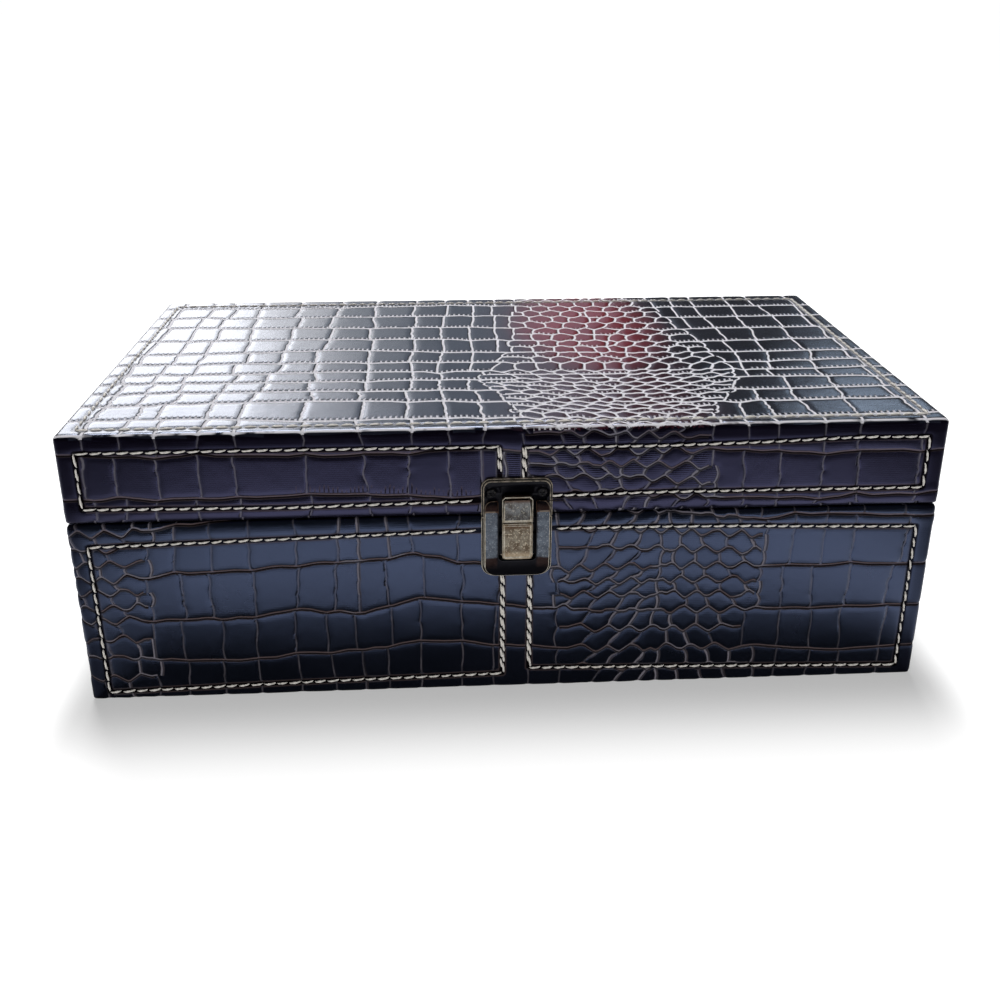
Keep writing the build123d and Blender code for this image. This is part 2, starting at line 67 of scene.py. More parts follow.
# %% [markdown]
# ## The camera
#
# A camera could be aimed by eye with a Track To constraint. Here its place and
# its three turns were worked out from the straight edges of the box, so they are
# written as numbers. The lens is moved a little upwards in its frame, as on a
# picture that was cropped, and that is what shift_y does.

# %% Place the camera
camera_place = np.array([-26.121, -472.837, 273.987]) * MM
yaw, pitch, roll = (math.radians(turn) for turn in (3.2856, 20.6829, 0.08655))
ahead = Vector((math.sin(yaw) * math.cos(pitch), math.cos(yaw) * math.cos(pitch), -math.sin(pitch)))
level_right = Vector((math.cos(yaw), -math.sin(yaw), 0))
level_up = level_right.cross(ahead)
right = level_right * math.cos(roll) + level_up * math.sin(roll)
up = level_up * math.cos(roll) - level_right * math.sin(roll)

lens = bpy.data.cameras.new("camera")
lens.sensor_width = 36.0
lens.lens = 37.952
lens.shift_y = -0.1
lens.clip_start = 0.01
lens.clip_end = 50
camera = bpy.data.objects.new("camera", lens)
camera.matrix_world = Matrix.Translation(camera_place) @ Matrix((right, up, -ahead)).transposed().to_4x4()
bpy.context.scene.collection.objects.link(camera)
bpy.context.scene.camera = camera
bpy.context.scene.view_settings.view_transform = "Standard"
print("camera looks down by", round(math.degrees(math.asin(-ahead.z)), 1), "degrees")

# %% [markdown]
# ## Shader maths that reads like maths
#
# A finish in Blender is a graph of nodes. Drawn by hand it is quick to start and
# slow to change, so each wire is wrapped in a small class that can be added,
# multiplied and compared, and every operator adds the Math node it stands for.

# %% Wires and finishes
class Wire:
    """One output of a node that works in sums like a number."""

    def __init__(self, finish, socket):
        self.finish, self.socket = finish, socket

    def __add__(self, other):
        return self.finish.math("ADD", self, other)

    def __sub__(self, other):
        return self.finish.math("SUBTRACT", self, other)

    def __rsub__(self, other):
        return self.finish.math("SUBTRACT", other, self)

    def __mul__(self, other):
        return self.finish.math("MULTIPLY", self, other)

    def __truediv__(self, other):
        return self.finish.math("DIVIDE", self, other)

    def __neg__(self):
        return self * -1.0

    __radd__ = __add__
    __rmul__ = __mul__

    def step(self, start, end, low=0.0, high=1.0):
        """Rises smoothly from low to high while the wire goes from start to end."""
        return self.finish.node(
            "ShaderNodeMapRange",
            {"interpolation_type": "SMOOTHSTEP"},
            {0: self, 1: start, 2: end, 3: low, 4: high},
        )


class Finish:
    """A material whose nodes are added by calls; the last call is surface()."""

    def __init__(self, name):
        self.material = bpy.data.materials.new(name)
        self.material.use_nodes = True
        self.nodes = self.material.node_tree.nodes
        self.links = self.material.node_tree.links
        self.nodes.clear()

    def node(self, kind, settings=None, values=None, out=0):
        """Adds a node: settings first, then a value or a wire for each socket; gives one output.

        A colour is written as red, green and blue.
        """
        made = self.nodes.new(kind)
        for name, value in (settings or {}).items():
            setattr(made, name, value)
        for name, value in (values or {}).items():
            socket = made.inputs[name]
            if isinstance(value, Wire):
                self.links.new(value.socket, socket)
            else:
                socket.default_value = (*value, 1.0) if socket.type == "RGBA" else value
        return Wire(self, made.outputs[out]) if made.outputs else None

    def math(self, operation, *values):
        return self.node("ShaderNodeMath", {"operation": operation}, dict(enumerate(values)))

    def most(self, *values):
        """The greatest of some wires and numbers."""
        return functools.reduce(lambda first, second: self.math("MAXIMUM", first, second), values)

    def mix(self, share, first, second):
        """A colour between first and second."""
        return self.node(
            "ShaderNodeMix", {"data_type": "RGBA", "clamp_factor": True}, {0: share, 6: first, 7: second}, 2
        )

    def place(self):
        """Where a point is on the piece, in metres from the middle of the box's foot."""
        return self.node("ShaderNodeTexCoord", out="Object")

    def stretched(self, place, scale):
        return self.node("ShaderNodeMapping", {}, {0: place, 3: scale})

    def noise(self, place, scale, detail=3.0, rough=0.5, distortion=0.0):
        return self.node("ShaderNodeTexNoise", {}, {
            "Vector": place, "Scale": scale, "Detail": detail, "Roughness": rough, "Distortion": distortion,
        })

    def split(self, vector):
        return [self.node("ShaderNodeSeparateXYZ", {}, {0: vector}, axis) for axis in range(3)]

    def stored(self, name, out="Fac"):
        """Numbers that the mesh carries under this name."""
        return self.node("ShaderNodeAttribute", {"attribute_name": name}, out=out)

    def bump(self, height, distance, strength=1.0, below=None):
        values = {"Height": height, "Distance": distance, "Strength": strength}
        if below:
            values["Normal"] = below
        return self.node("ShaderNodeBump", {}, values)

    def surface(self, dull=None, **values):
        """Puts the values on a Principled shader and gives the material.

        dull is a share and a colour: by that share the surface is a second shader with no gloss.
        """
        named = {name.replace("_", " "): value for name, value in values.items()}
        shader = self.node("ShaderNodeBsdfPrincipled", {}, named, "BSDF")
        if dull:
            share, colour = dull
            matte = self.node("ShaderNodeBsdfPrincipled", {}, {
                "Base Color": colour, "Roughness": 0.9, "Specular IOR Level": 0.0, "Normal": named["Normal"],
            }, "BSDF")
            shader = self.node("ShaderNodeMixShader", {}, {0: share, 1: shader, 2: matte})
        self.node("ShaderNodeOutputMaterial", {}, {"Surface": shader})
        return self.material


# %% [markdown]
# ## Numpy surfaces
#
# A surface is a grid of points worked out as whole arrays. The helper turns such
# a grid into a mesh. It can carry numbers on the corners of its faces, because a
# number on a corner may jump from one face to the next, as a pattern of scales
# needs to do at the groove between two rows.

# %% Turn grids into pieces
def quads_of(rows, columns, closed=False):
    """Four corner numbers for each cell of a grid of points, turning anticlockwise.

    closed joins the last column of cells to the first, and then the grid has one column less.
    """
    kept = columns - 1 if closed else columns
    number = np.arange(rows)[:, None] * kept + (np.arange(columns) % kept)[None, :]
    return np.stack([number[:-1, :-1], number[:-1, 1:], number[1:, 1:], number[1:, :-1]], -1).reshape(-1, 4)


def piece(name, points, quads, body, finish, corners=None, per_point=None, other=None):
    """A smooth mesh from points in millimetres, riding on a body; corners holds vectors per face corner.

    other is a second finish and, for each face, whether it has it.
    """
    mesh = bpy.data.meshes.new(name)
    mesh.vertices.add(len(points))
    mesh.vertices.foreach_set("co", (np.asarray(points) * MM).astype(np.float32).ravel())
    mesh.loops.add(quads.size)
    mesh.loops.foreach_set("vertex_index", quads.astype(np.int32).ravel())
    mesh.polygons.add(len(quads))
    mesh.polygons.foreach_set("loop_start", np.arange(0, quads.size, quads.shape[1], dtype=np.int32))
    mesh.update(calc_edges=True)
    for label, values in (corners or {}).items():
        layer = mesh.attributes.new(label, "FLOAT_VECTOR", "CORNER")
        layer.data.foreach_set("vector", np.asarray(values, np.float32).ravel())
    for label, values in (per_point or {}).items():
        layer = mesh.attributes.new(label, "FLOAT", "POINT")
        layer.data.foreach_set("value", np.asarray(values, np.float32).ravel())
    mesh.validate()
    mesh.shade_smooth()
    mesh.materials.append(finish)
    if other:
        mesh.materials.append(other[0])
        mesh.polygons.foreach_set("material_index", np.asarray(other[1], np.int32))
    made = bpy.data.objects.new(name, mesh)
    bpy.context.scene.collection.objects.link(made)
    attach(made, body)
    print(name, "has", 2 * len(quads), "triangles")
    return made


# %% [markdown]
# ## The pressed pattern
#
# The sheet is pressed by a roller. Long grooves run across it about 20 mm apart,
# and short grooves cut each row into scales: broad bricks in most places, and
# small leaning scales in a belt where an animal's flank would be. Three ways to
# make it are a Voronoi texture, a picture, or a drawn net of lines. A Voronoi
# texture has no rows, and a picture isn't wanted, so the net is worked out: for
# every point we store how far it is from the grooves round its scale. The rows
# of the mesh follow the long grooves, so those numbers change evenly inside a
# row, and the shader draws sharp lines however near the camera comes.

# %% Cut rows into scales
chance = np.random.default_rng(24)
small_width, broad_width = 9.0, 15.0
belt_margin = 6.0  # no groove of a broad scale stands nearer to a belt's edge
most_walls = 20  # on one side of a belt


def settle(walls, least=2.0):
    """Keeps grooves in order and at least a little apart."""
    steps = np.arange(len(walls)) * least
    return np.maximum.accumulate(walls - steps) + steps


def moved(edges, most):
    """Edges of belts, each moved sideways by chance, its foot and its top alike."""
    return [(a + shift, b + shift) for (a, b), shift in zip(edges, chance.uniform(-most, most, len(edges)))]


def small_walls(left, right, low, high, jog, slide):
    """The short grooves of one strip in a belt: where each stands at the strip's foot and at its top.

    On each side of the belt's middle they stand at equal steps, wider towards its edges, and
    slide(height) says how far the left and the right ones have slid sideways at a height. So a
    groove runs on into the next strip, and where two sides meet or part small diamonds come.
    jog sets the strip off by a share of a scale, as bricks are. Where the two sides leave a
    gap of more than one and a half scales, one more groove stands in the middle.
    """
    middle = (left + right) / 2
    foot, top, gap = [], [], 0.0
    for side, limit in ((-1, left), (1, right)):
        slid = [side * slide(height)[(side + 1) // 2] for height in (low, high)]
        offset = (0.5 + jog * (1.0 if side > 0 else 0.6)) * small_width + sum(slid) / 2
        reach = abs(limit - middle)
        far = offset % small_width + small_width * np.arange(most_walls)
        far = far + 0.14 * far ** 2 / reach + chance.uniform(-1.1, 1.1, most_walls)
        far = far[(far > 2.6) & (far < reach - 4.5)][::side]
        gap += far.min()
        half = side * (slid[1] - slid[0]) / 2 + chance.uniform(-0.7, 0.7, len(far))
        foot.append(middle + side * far - half)
        top.append(middle + side * far + half)
    if gap > 1.5 * small_width:
        foot.insert(1, [middle])
        top.insert(1, [middle + chance.uniform(-1.5, 1.5)])
    return np.concatenate(foot), np.concatenate(top)


def one_strip(shares, groups, row_edges, low, high, jog, slide):
    """One strip of a row: broad scales beside the belts, and small ones inside them.

    shares says where the strip's foot and top are in the row, and each group holds the feet,
    tops and tones of the short grooves between two belts.
    """
    edges = moved(row_edges, 1.8)
    parts = []
    for number, (near, far, tones) in enumerate(groups):
        before, after = edges[2 * number - 1 : 2 * number], edges[2 * number : 2 * number + 1]
        at_foot = np.array([a for a, b in before] + list(near) + [a for a, b in after])
        at_top = np.array([b for a, b in before] + list(far) + [b for a, b in after])
        bulge = chance.uniform(-0.7, 0.7, len(at_foot))
        if before:
            bulge[0] = chance.uniform(0, 1.4)
        if after:
            bulge[-1] = -chance.uniform(0, 1.4)
        ends = [at_foot + (at_top - at_foot) * share for share in shares]
        parts.append((*ends, np.zeros(len(at_foot)), bulge, tones[: len(at_foot) - 1]))
        if after:
            levels = [low + (high - low) * share for share in shares]
            sides = [a + (b - a) * sum(shares) / 2 for a, b in edges[2 * number : 2 * number + 2]]
            walls = small_walls(*sides, *levels, jog, slide)
            count = len(walls[0])
            bulge = chance.uniform(-0.9, 0.9, count)
            parts.append((*walls, np.ones(count), bulge, chance.uniform(0, 1, count + 1)))
    at_foot, at_top, small, bulge, tone = (np.concatenate(part) for part in zip(*parts))
    return {
        "foot": settle(at_foot), "top": settle(at_top), "small": small, "bulge": bulge,
        "tone": tone, "share": shares, "edges": edges,
    }


def row_of_scales(low, high, splits, columns, belts, heights, slide, below):
    """One row between two long grooves, as strips from the bottom up.

    A column is a line through all the rows, given by its place at each of the heights, so
    a short groove of one row stands nearly under the groove of the next. A belt is a pair
    of such lines, and between them the row is split into strips of small scales. Every
    second strip is set off by half a scale, counted on from the strips below the row.
    """
    foot, top = ([np.interp(height, heights, line) for line in columns] for height in (low, high))
    nudge = chance.uniform(-1.8, 1.8, len(foot))
    foot, top = foot + nudge, top + nudge + chance.uniform(-1.2, 1.2, len(foot))
    lines = [line for pair in belts for line in pair]
    row_edges = moved([[np.interp(height, heights, line) for height in (low, high)] for line in lines], 2.5)
    order = np.argsort(foot + top)
    foot, top = foot[order], top[order]
    middle = (foot + top) / 2
    marks = [-1e4] + [(a + b) / 2 for a, b in row_edges] + [1e4]
    groups = []
    for left, right in zip(marks[0::2], marks[1::2]):
        keep = (middle > left + belt_margin) & (middle < right - belt_margin)
        groups.append((foot[keep], top[keep], chance.uniform(0, 1, keep.sum() + 1)))
    strips = []
    for index in range(splits):
        shares = (index / splits, (index + 1) / splits)
        strips.append(one_strip(shares, groups, row_edges, low, high, 0.5 * ((below + index) % 2), slide))
    return strips


# %% Bend the long grooves
def wander(along, seed, size, turn=0.0):
    """A slow wave: three sines added. With turn, each has a whole number of waves in that length."""
    phase = np.random.default_rng(seed).uniform(0, 2 * np.pi, 3)
    lengths = [turn / (2 * np.pi * waves) for waves in (3, 7, 15)] if turn else (61.0, 27.0, 13.0)
    waves = [np.sin(along / length + start) for length, start in zip(lengths, phase)]
    return size * (0.5 * waves[0] + 0.3 * waves[1] + 0.2 * waves[2])


def tents(along, places, heights, halves):
    """A tent of straight sides over each place, added up."""
    slope = 1 - np.abs(along[:, None] - places[None, :]) / halves[None, :]
    return (np.clip(slope, 0, None) * heights[None, :]).sum(1)


def widths_of(walls):
    gap = np.diff(walls)
    return np.minimum(np.append(gap, gap[-1]), np.insert(gap, 0, gap[0]))


def inside_belts(along, edges, share):
    """1 between the two edges of a belt at this share of the row's height, 0 outside, with a short ramp."""
    places = [a + (b - a) * share for a, b in edges]
    inside = np.zeros(len(along))
    for left, right in zip(places[0::2], places[1::2]):
        inside = np.maximum(inside, np.clip(np.minimum(along - left, right - along) + 0.5, 0, 1))
    return inside


def rounded_least(*gaps, blur=0.5):
    """The least of some distances with its corners rounded: minus the log of summed fading powers."""
    return -blur * np.log(sum(np.exp(-gap / blur) for gap in gaps))


# %% Work out the whole net
cell_height = 1.08  # of the mesh
far_off = 25.0  # added to a distance so that its groove can't be seen


def even_slide(height):
    """Small grooves lean towards their belt's middle as they rise, alike on both sides of it."""
    return 0.4 * height, -0.4 * height


def all_strips(along, straight_lines, splits, columns, belts, heights, plain, slide):
    """The strips of every row from the bottom up, with what each needs to know of its own row."""
    strips = []
    for row, (low, high) in enumerate(zip(straight_lines[:-1], straight_lines[1:])):
        foot, top = low.mean(), high.mean()
        for strip in row_of_scales(foot, top, splits[row], columns, belts, heights, slide, len(strips)):
            strip["low"], strip["high"] = low, high
            strip["peak"] = min(2.0, 0.3 * (top - foot) / splits[row])
            strip["inside"] = [inside_belts(along, strip["edges"], share) for share in strip["share"]]
            strip["long"] = [share in (0.0, 1.0) for share in strip["share"]]
            strip["fold"] = [strip["long"][end] and row + end in plain for end in (0, 1)]
            strips.append(strip)
    return strips


def groove_between(below, above, along, seed, turn):
    """The height of the groove between two strips, one of which is None at the sheet's foot and top.

    It rises where a short groove comes down to it and falls where one comes up, which turns
    bricks into rounded scales. A fold stays straight.
    """
    strip, end = (above, 0) if above else (below, 1)
    level = strip["low"] + (strip["high"] - strip["low"]) * strip["share"][end]
    if strip["fold"][end]:
        return level
    level = level + wander(along, seed, 1.15 if strip["long"][end] else 0.7, turn)
    for part, key, sign in ((above, "foot", 1), (below, "top", -1)):
        if part:
            reach = np.clip(widths_of(part[key]) * 0.55, 3, 7)
            rise = np.where(part["small"] > 0, part["peak"], chance.normal(0.2, 0.5, len(reach)))
            level = level + tents(along, part[key], rise * sign, reach)
    return level


def strip_grid(strip, low, high, along):
    """The grid over one strip: its heights, six numbers per face corner, and how far a groove is."""
    tall = high - low
    count = max(2, round(float(np.median(tall)) / cell_height))
    up = np.linspace(0, 1, count + 1)[:, None]
    foot, top = strip["foot"], strip["top"]
    walls = foot + (top - foot) * up + strip["bulge"] * np.sin(np.pi * up)
    spot = np.stack([np.interp(along, line, np.arange(len(line))) for line in walls])
    middle = (foot[1:] + foot[:-1] + top[1:] + top[:-1]) / 4
    wide = np.broadcast_to(np.interp(along, middle, np.diff((foot + top) / 2)), spot.shape)
    tone = strip["tone"][np.clip(spot.astype(int), 0, len(strip["tone"]) - 1)]
    sides = zip(strip["fold"], strip["long"], strip["inside"])
    hidden = [far_off * (1 if fold else 0 if long else 1 - inside) for fold, long, inside in sides]
    down, over = up * tall + hidden[0], (1 - up) * tall + hidden[1]
    six = np.stack([spot, down, over, wide, np.broadcast_to(along, spot.shape), tone], -1)
    share = spot - np.floor(spot)
    gap = rounded_least(down, over, share * wide, (1 - share) * wide)
    return low + up * tall, np.stack([six[:-1, :-1], six[:-1, 1:], six[1:, 1:], six[1:, :-1]], 2), gap


def scale_sheet(
    along, stations, lines, splits, columns, belts, heights, plain, slide=even_slide, seed=5, turn=0.0
):
    """The whole net over one sheet.

    along is where the mesh has columns. A line is a long groove, given by its height at
    each station, and splits says how many strips each row has inside a belt. Lines numbered
    in plain are only folds of the sheet. Gives the height of every grid point, six numbers
    per face corner and the distance from each point to the nearest groove.
    """
    straight_lines = [np.interp(along, stations, np.broadcast_to(line, len(stations))) for line in lines]
    strips = all_strips(along, straight_lines, splits, columns, belts, heights, plain, slide)
    levels = [
        groove_between(below, above, along, seed * 100 + number, turn)
        for number, (below, above) in enumerate(zip([None] + strips, strips + [None]))
    ]
    grids = [strip_grid(*parts, along) for parts in zip(strips, levels[:-1], levels[1:])]
    tall, corners, gaps = (list(part) for part in zip(*grids))
    for number in range(1, len(strips)):
        # Two strips share the row of points on their groove, and the first one keeps it.
        gaps[number - 1][-1] = np.minimum(gaps[number - 1][-1], gaps[number][0])
        tall[number], gaps[number] = tall[number][1:], gaps[number][1:]
    return np.concatenate(tall), np.concatenate(corners), np.concatenate(gaps)


def packed(corners, flip=False):
    """Splits the six corner numbers into two vectors, in the turning order of the faces."""
    if flip:
        corners = corners[:, :, ::-1]
    flat = corners.reshape(-1, 6)
    return {"scale_place": flat[:, :3], "scale_size": flat[:, 3:]}


# %% [markdown]
# ## Leatherette
#
# The sheet is a thin coat of navy vinyl on cloth: nearly black itself, glossy,
# with a bluish skin that mirrors the room. On the lid's top the grooves are painted
# pale, a painted highlight for the bright window their slopes would mirror. On the
# walls they are the edges of the pressing: a dark line of painted shade between
# two dull shoulders. A varnish painted by picture would blur; the stored
# distances let the shader draw groove, shoulder, crease marks and the roundness
# of each scale exactly. Grooves and strips of painted shade mirror nothing, so they are a
# second shader without gloss, mixed in by the share called groove.

# %% The leatherette finish
class Leather(Finish):
    """A finish that knows where a point is: on the box in metres, and in its scale in millimetres."""

    def __init__(self, name):
        super().__init__(name)
        spot, self.down, self.over = self.split(self.stored("scale_place", "Vector"))
        self.wide, self.along, self.tone = self.split(self.stored("scale_size", "Vector"))
        self.on_box = self.place()
        self.across, self.deep, self.tall = self.split(self.on_box)
        self.cloudy = self.noise(self.on_box, 38.0, 4.0, 0.6)
        self.patchy = self.noise(self.on_box, 130.0, 2.0)
        self.ragged = (self.noise(self.on_box, 900.0, 3.0, 0.6) - 0.5) * 0.3
        self.share = self.math("FRACT", spot)
        self.wall = self.math("MINIMUM", self.share * self.wide, (1 - self.share) * self.wide)
        self.small = self.wide.step(11.5, 9.3)
        self.broad = 1 - self.small
        self.tilt = (self.tone - 0.5) * self.share * self.wide
        self.grain = (self.noise(self.on_box, 2600.0, 2.0, 0.6) - 0.5) * 0.08 + self.patchy * 0.25

    def nearest(self, *distances, blur=0.4):
        """The least of some distances to grooves, rounded in the corners and a little ragged."""
        powers = sum(self.math("EXPONENT", -distance / blur) for distance in distances)
        return self.math("LOGARITHM", powers, math.e) * -blur + self.ragged

    def comb(self, pace):
        """Uneven waves along a groove, for the teeth of a crease."""
        return self.math("SINE", self.along * pace + self.noise(self.on_box, 60.0, 1.0) * 7.0)


def top_wear_and_highlights(f, skin):
    """The lid's top: a wine-red blush behind the belt, grooves and crease teeth painted pale as a painted
    highlight, painted shade beside and between them, and a pale fold line of painted highlight and wear.
    """
    across, deep, down = f.across, f.deep, f.down
    red = f.math("POWER", (across - 0.046) / 0.036, 2.0) + f.math("POWER", (deep - 0.040) / 0.072, 2.0)
    blush = f.most(red.step(1.6, 0.1), across.step(-0.012, 0.030) * across.step(0.095, 0.060) * 0.22)
    skin = f.mix(blush * (0.5 + f.cloudy * 0.55), skin, (0.26, 0.008, 0.016))
    # Painted highlight: the grooves are painted pale, standing in for the bright window mirrored in their
    # slopes.
    pale = f.math("MINIMUM", f.nearest(down, f.over) * 0.62, (f.wall + f.ragged) * 0.95).step(0.66, 0.36)
    # Painted shadow: a dark line beside each upright groove.
    shadow = (1 - f.share) * f.wide
    shadow = shadow.step(0.45, 0.6) * shadow.step(1.15, 0.8)
    # The pale teeth are a painted highlight; the dark between them is painted crease shade.
    comb = f.comb(2.7)
    tooth = comb.step(0.0, 0.7) * down.step(3.6, 1.6) * f.broad * f.patchy.step(0.30, 0.44)
    between = comb.step(0.0, -0.7) * down.step(2.6, 1.4) * f.broad
    # A pale line along the front fold: painted highlight of the key on the bend, and wear.
    fold = f.math("ABSOLUTE", deep + 0.0939).step(0.0007, 0.0003)
    groove = f.most(pale, tooth * 0.8, shadow * 0.85, between * 0.6, fold * f.patchy.step(0.30, 0.5))
    # The pale tone of the painted highlights on grooves, teeth and fold; black elsewhere is painted shade.
    worn = f.mix(f.cloudy, (0.88, 0.88, 0.94), (0.76, 0.73, 0.77))
    groove_tone = f.mix(f.most(pale, tooth, fold.step(0.0, 0.2)), (0.004, 0.004, 0.007), worn)
    # Pale blue streaks near the front right of the top.
    streaks = f.noise(f.stretched(f.on_box, (40.0, 420.0, 1.0)), 1.0, 4.0, 0.6)
    pale_blue_streaks = streaks.step(0.56, 0.66) * across.step(0.105, 0.135) * deep.step(-0.070, -0.078)
    skin = f.mix(pale_blue_streaks * 0.6, skin, (0.16, 0.20, 0.27))
    edge = f.nearest(down, f.over, f.wall)
    height = f.grain + edge.step(0.1, 0.8) * 0.35 - tooth * 0.3 + f.tilt * 0.12
    return skin, groove, groove_tone, height, 0.15 + f.tone * 0.05 + f.cloudy * 0.05


def lid_crease_shade(f):
    """Short dark crease marks on the lid's lowest long groove, left of the latch: painted crease shade."""
    clump = f.down - (f.noise(f.stretched(f.on_box, (240.0, 1.0, 1.0)), 1.0, 3.0, 0.6) - 0.5) * 11.0
    hairs = f.comb(3.6).step(0.1, 0.8) * clump.step(4.2, 2.0) * f.down.step(0.8, 1.2) * f.broad
    left_of_latch = f.across.step(-0.004, -0.010) * f.across.step(-0.090, -0.070)
    return hairs * f.tall.step(0.105, 0.100) * left_of_latch


def shaded_wall(f, lid):
    """A wall: dull shoulders beside a black core of painted shade; upright grooves between broad scales
    hardly show.
    """
    warm, cool, plain, waves = (0.165, 0.120, 0.120), (0.20, 0.185, 0.215), 0.18, 0.01
    if lid:
        warm, cool, plain, waves = (0.17, 0.130, 0.140), (0.23, 0.22, 0.26), 0.36, 0.05
    row_line = (f.down + f.ragged).step(0.80, 0.45)
    upright = (f.wall + f.ragged).step(0.46, 0.22)
    faint = plain + f.small * (0.86 - plain) + f.patchy.step(0.42, 0.62) * 0.16
    groove = f.most(row_line * (0.62 + f.small * 0.28), upright * faint)
    groove_tone = f.mix(f.most(f.small, upright * (1 - row_line)), warm, cool)
    # Painted shade: a black core just under each row groove, and a dark line beside the small scales' upright
    # grooves.
    beside = (f.share * f.wide).step(1.15, 0.75) * f.small * (1 - upright) * 0.75
    core = f.most((f.over + f.ragged).step(1.0, 0.5) * (0.95 - f.small * 0.1), beside) * (1 - row_line)
    groove_tone = f.mix(core, groove_tone, (0.001, 0.001, 0.001))
    groove = f.most(groove, core)
    # Painted shade: the front's two ends and the lid's band just under its fold are turned into the black
    # dull shader.
    painted_shade = f.math("ABSOLUTE", f.across).step(0.1655, 0.1720) * f.deep.step(-0.0925, -0.0940) * 0.5
    if lid:
        # Painted crease shade: short dark marks at the foot of the lid's lowest groove.
        hairs = lid_crease_shade(f)
        groove = f.most(groove, hairs * f.patchy.step(0.35, 0.5) * 0.8)
        groove_tone = f.mix(hairs, groove_tone, (0.003, 0.002, 0.003))
        painted_shade = f.most(painted_shade, f.tall.step(0.1108, 0.1150) * 0.72)
    groove_tone = f.mix(painted_shade.step(0.0, 0.02) * (1 - groove), groove_tone, (0.002, 0.001, 0.003))
    lines = f.math("SINE", f.tall * (2 * math.pi / 0.00085) + f.cloudy * 3.0) * (0.008 + f.small * waves)
    height = f.grain + f.nearest(f.down, f.over, f.wall).step(0.1, 1.0) * 0.7 + lines + f.tilt * 0.14
    return f.most(groove, painted_shade), groove_tone, height, 0.21 + f.tone * 0.06 + f.cloudy * 0.06


def leatherette(kind, ior, tint, dark, light):
    """kind is top, lid or base. The skin is between dark and light, its gloss has the given tint."""
    f = Leather("leatherette_" + kind)
    skin = f.mix(f.cloudy.step(0.3, 0.7), dark, light)
    if kind == "top":
        skin, groove, groove_tone, height, rough = top_wear_and_highlights(f, skin)
        furrow_share, furrow_tone = 0.55, (0.50, 0.50, 0.53)
    else:
        groove, groove_tone, height, rough = shaded_wall(f, kind == "lid")
        furrow_share, furrow_tone = 0.9, (0.002, 0.001, 0.001)
    # The strip beside each seam is mixed to the dull shader: on the walls nearly black, painted shade in the
    # furrow the thread pulls down; on the top pale grey.
    furrow = f.stored("seam").step(1.9, 0.8)
    groove = f.most(groove, furrow * furrow_share)
    return f.surface((groove, f.mix(furrow, groove_tone, furrow_tone)), Base_Color=skin, Roughness=rough,
                     IOR=ior, Specular_Tint=tint, Normal=f.bump(height, 0.00032))


# Three copies of one leatherette by place: on the top the skin and grooves are painted lighter, on the walls
# darker, for how the light falls.
leather_top = leatherette("top", 1.8, (0.6, 0.7, 1.0), (0.005, 0.0053, 0.010), (0.009, 0.010, 0.018))
leather_lid = leatherette("lid", 1.8, (0.47, 0.48, 0.96), (0.0012, 0.0008, 0.0020), (0.0026, 0.0018, 0.0042))
leather_base = leatherette("base", 2.0, (0.43, 0.56, 1.0), (0.0008, 0.0008, 0.0012), (0.0018, 0.0019, 0.0030))
print("leatherette nodes:", len(leather_top.node_tree.nodes))

# %% [markdown]
# ## Where the seams run
#
# The thread sinks the sheet a little, so both the sheet and the stitches need the
# same lines. A seam is drawn as a chain of straight runs on one face of the box.
# By hand a seam never runs quite true: those on the front bow a few millimetres.

# %% Seam lines in millimetres
half_x, half_y = 175.0, 95.0
base_rim, lid_rim, top_level = 81.5, 82.0, 119.5
latch_x = 2.3


def chain(*points):
    """The runs from each point to the next."""
    return list(zip(points[:-1], points[1:]))


def rectangle(half, low, high):
    """Four chains round a rectangle: across the foot, across the top, up the left and up the right."""
    corners = (-half, low), (half, low), (-half, high), (half, high)
    return [chain(corners[start], corners[end]) for start, end in ((0, 1), (2, 3), (0, 2), (1, 3))]


def beside_latch(*lines):
    """Two seams beside the latch, each given by its foot and its top; the uprights join their ends."""
    uprights = [chain(foot[end], top[end]) for foot, top in (lines[:2], lines[2:]) for end in (0, -1)]
    return [chain(*line) for line in lines] + uprights


seams = {
    "lid_top": rectangle(168.0, -89.0, 86.5),
    "lid_front": beside_latch(
        ((-167.5, 88.7), (-86, 87.6), (-4.5, 88.7)), ((-167.5, 112.3), (-90, 112.2), (-4.5, 111.5)),
        ((5.3, 90.0), (60, 90.6), (167.5, 90.0)),
        ((5.3, 111.2), (60, 110.7), (100, 111.3), (140, 112.6), (167.5, 112.2))),
    "lid_back": rectangle(167.5, 88.5, 111.5),
    "lid_side": rectangle(87.5, 88.5, 111.5),
    "base_front": beside_latch(
        ((-167.5, 3.9), (-80, 5.9), (-3.3, 7.0)), ((-167.5, 72.0), (-60, 74.4), (-3.3, 75.6)),
        ((7.9, 9.4), (64, 8.0), (167.5, 5.0)),
        ((7.9, 75.6), (60, 75.2), (100, 74.4), (120, 73.6), (167.5, 72.2))),
    "base_back": rectangle(167.5, 6.0, 74.0),
    "base_side": rectangle(87.5, 6.0, 74.0),
}


def far_from_seam(first, second, name):
    """Distance from points on a face to the nearest straight run of its seams."""
    best = np.full(np.shape(first), 50.0)
    for (a0, a1), (b0, b1) in (run for part in seams[name] for run in part):
        length = math.hypot(b0 - a0, b1 - a1)
        unit = ((b0 - a0) / length, (b1 - a1) / length)
        share = np.clip((first - a0) * unit[0] + (second - a1) * unit[1], 0, length)
        best = np.minimum(best, np.hypot(first - a0 - share * unit[0], second - a1 - share * unit[1]))
    return best


print("seams:", {name: len(parts) for name, parts in seams.items()})

# %% [markdown]
# ## The lid's cover
#
# One long strip of leatherette runs up the back of the lid, over its top and down
# the front, and turns a little way on to each end. Two panels close the ends. So
# the pattern passes over the front edge without a join, as on the real lid. The
# strip is a section carried along the box: a flat, a bend of 2 mm radius, a wall
# that swells a little, and the rim turned under.

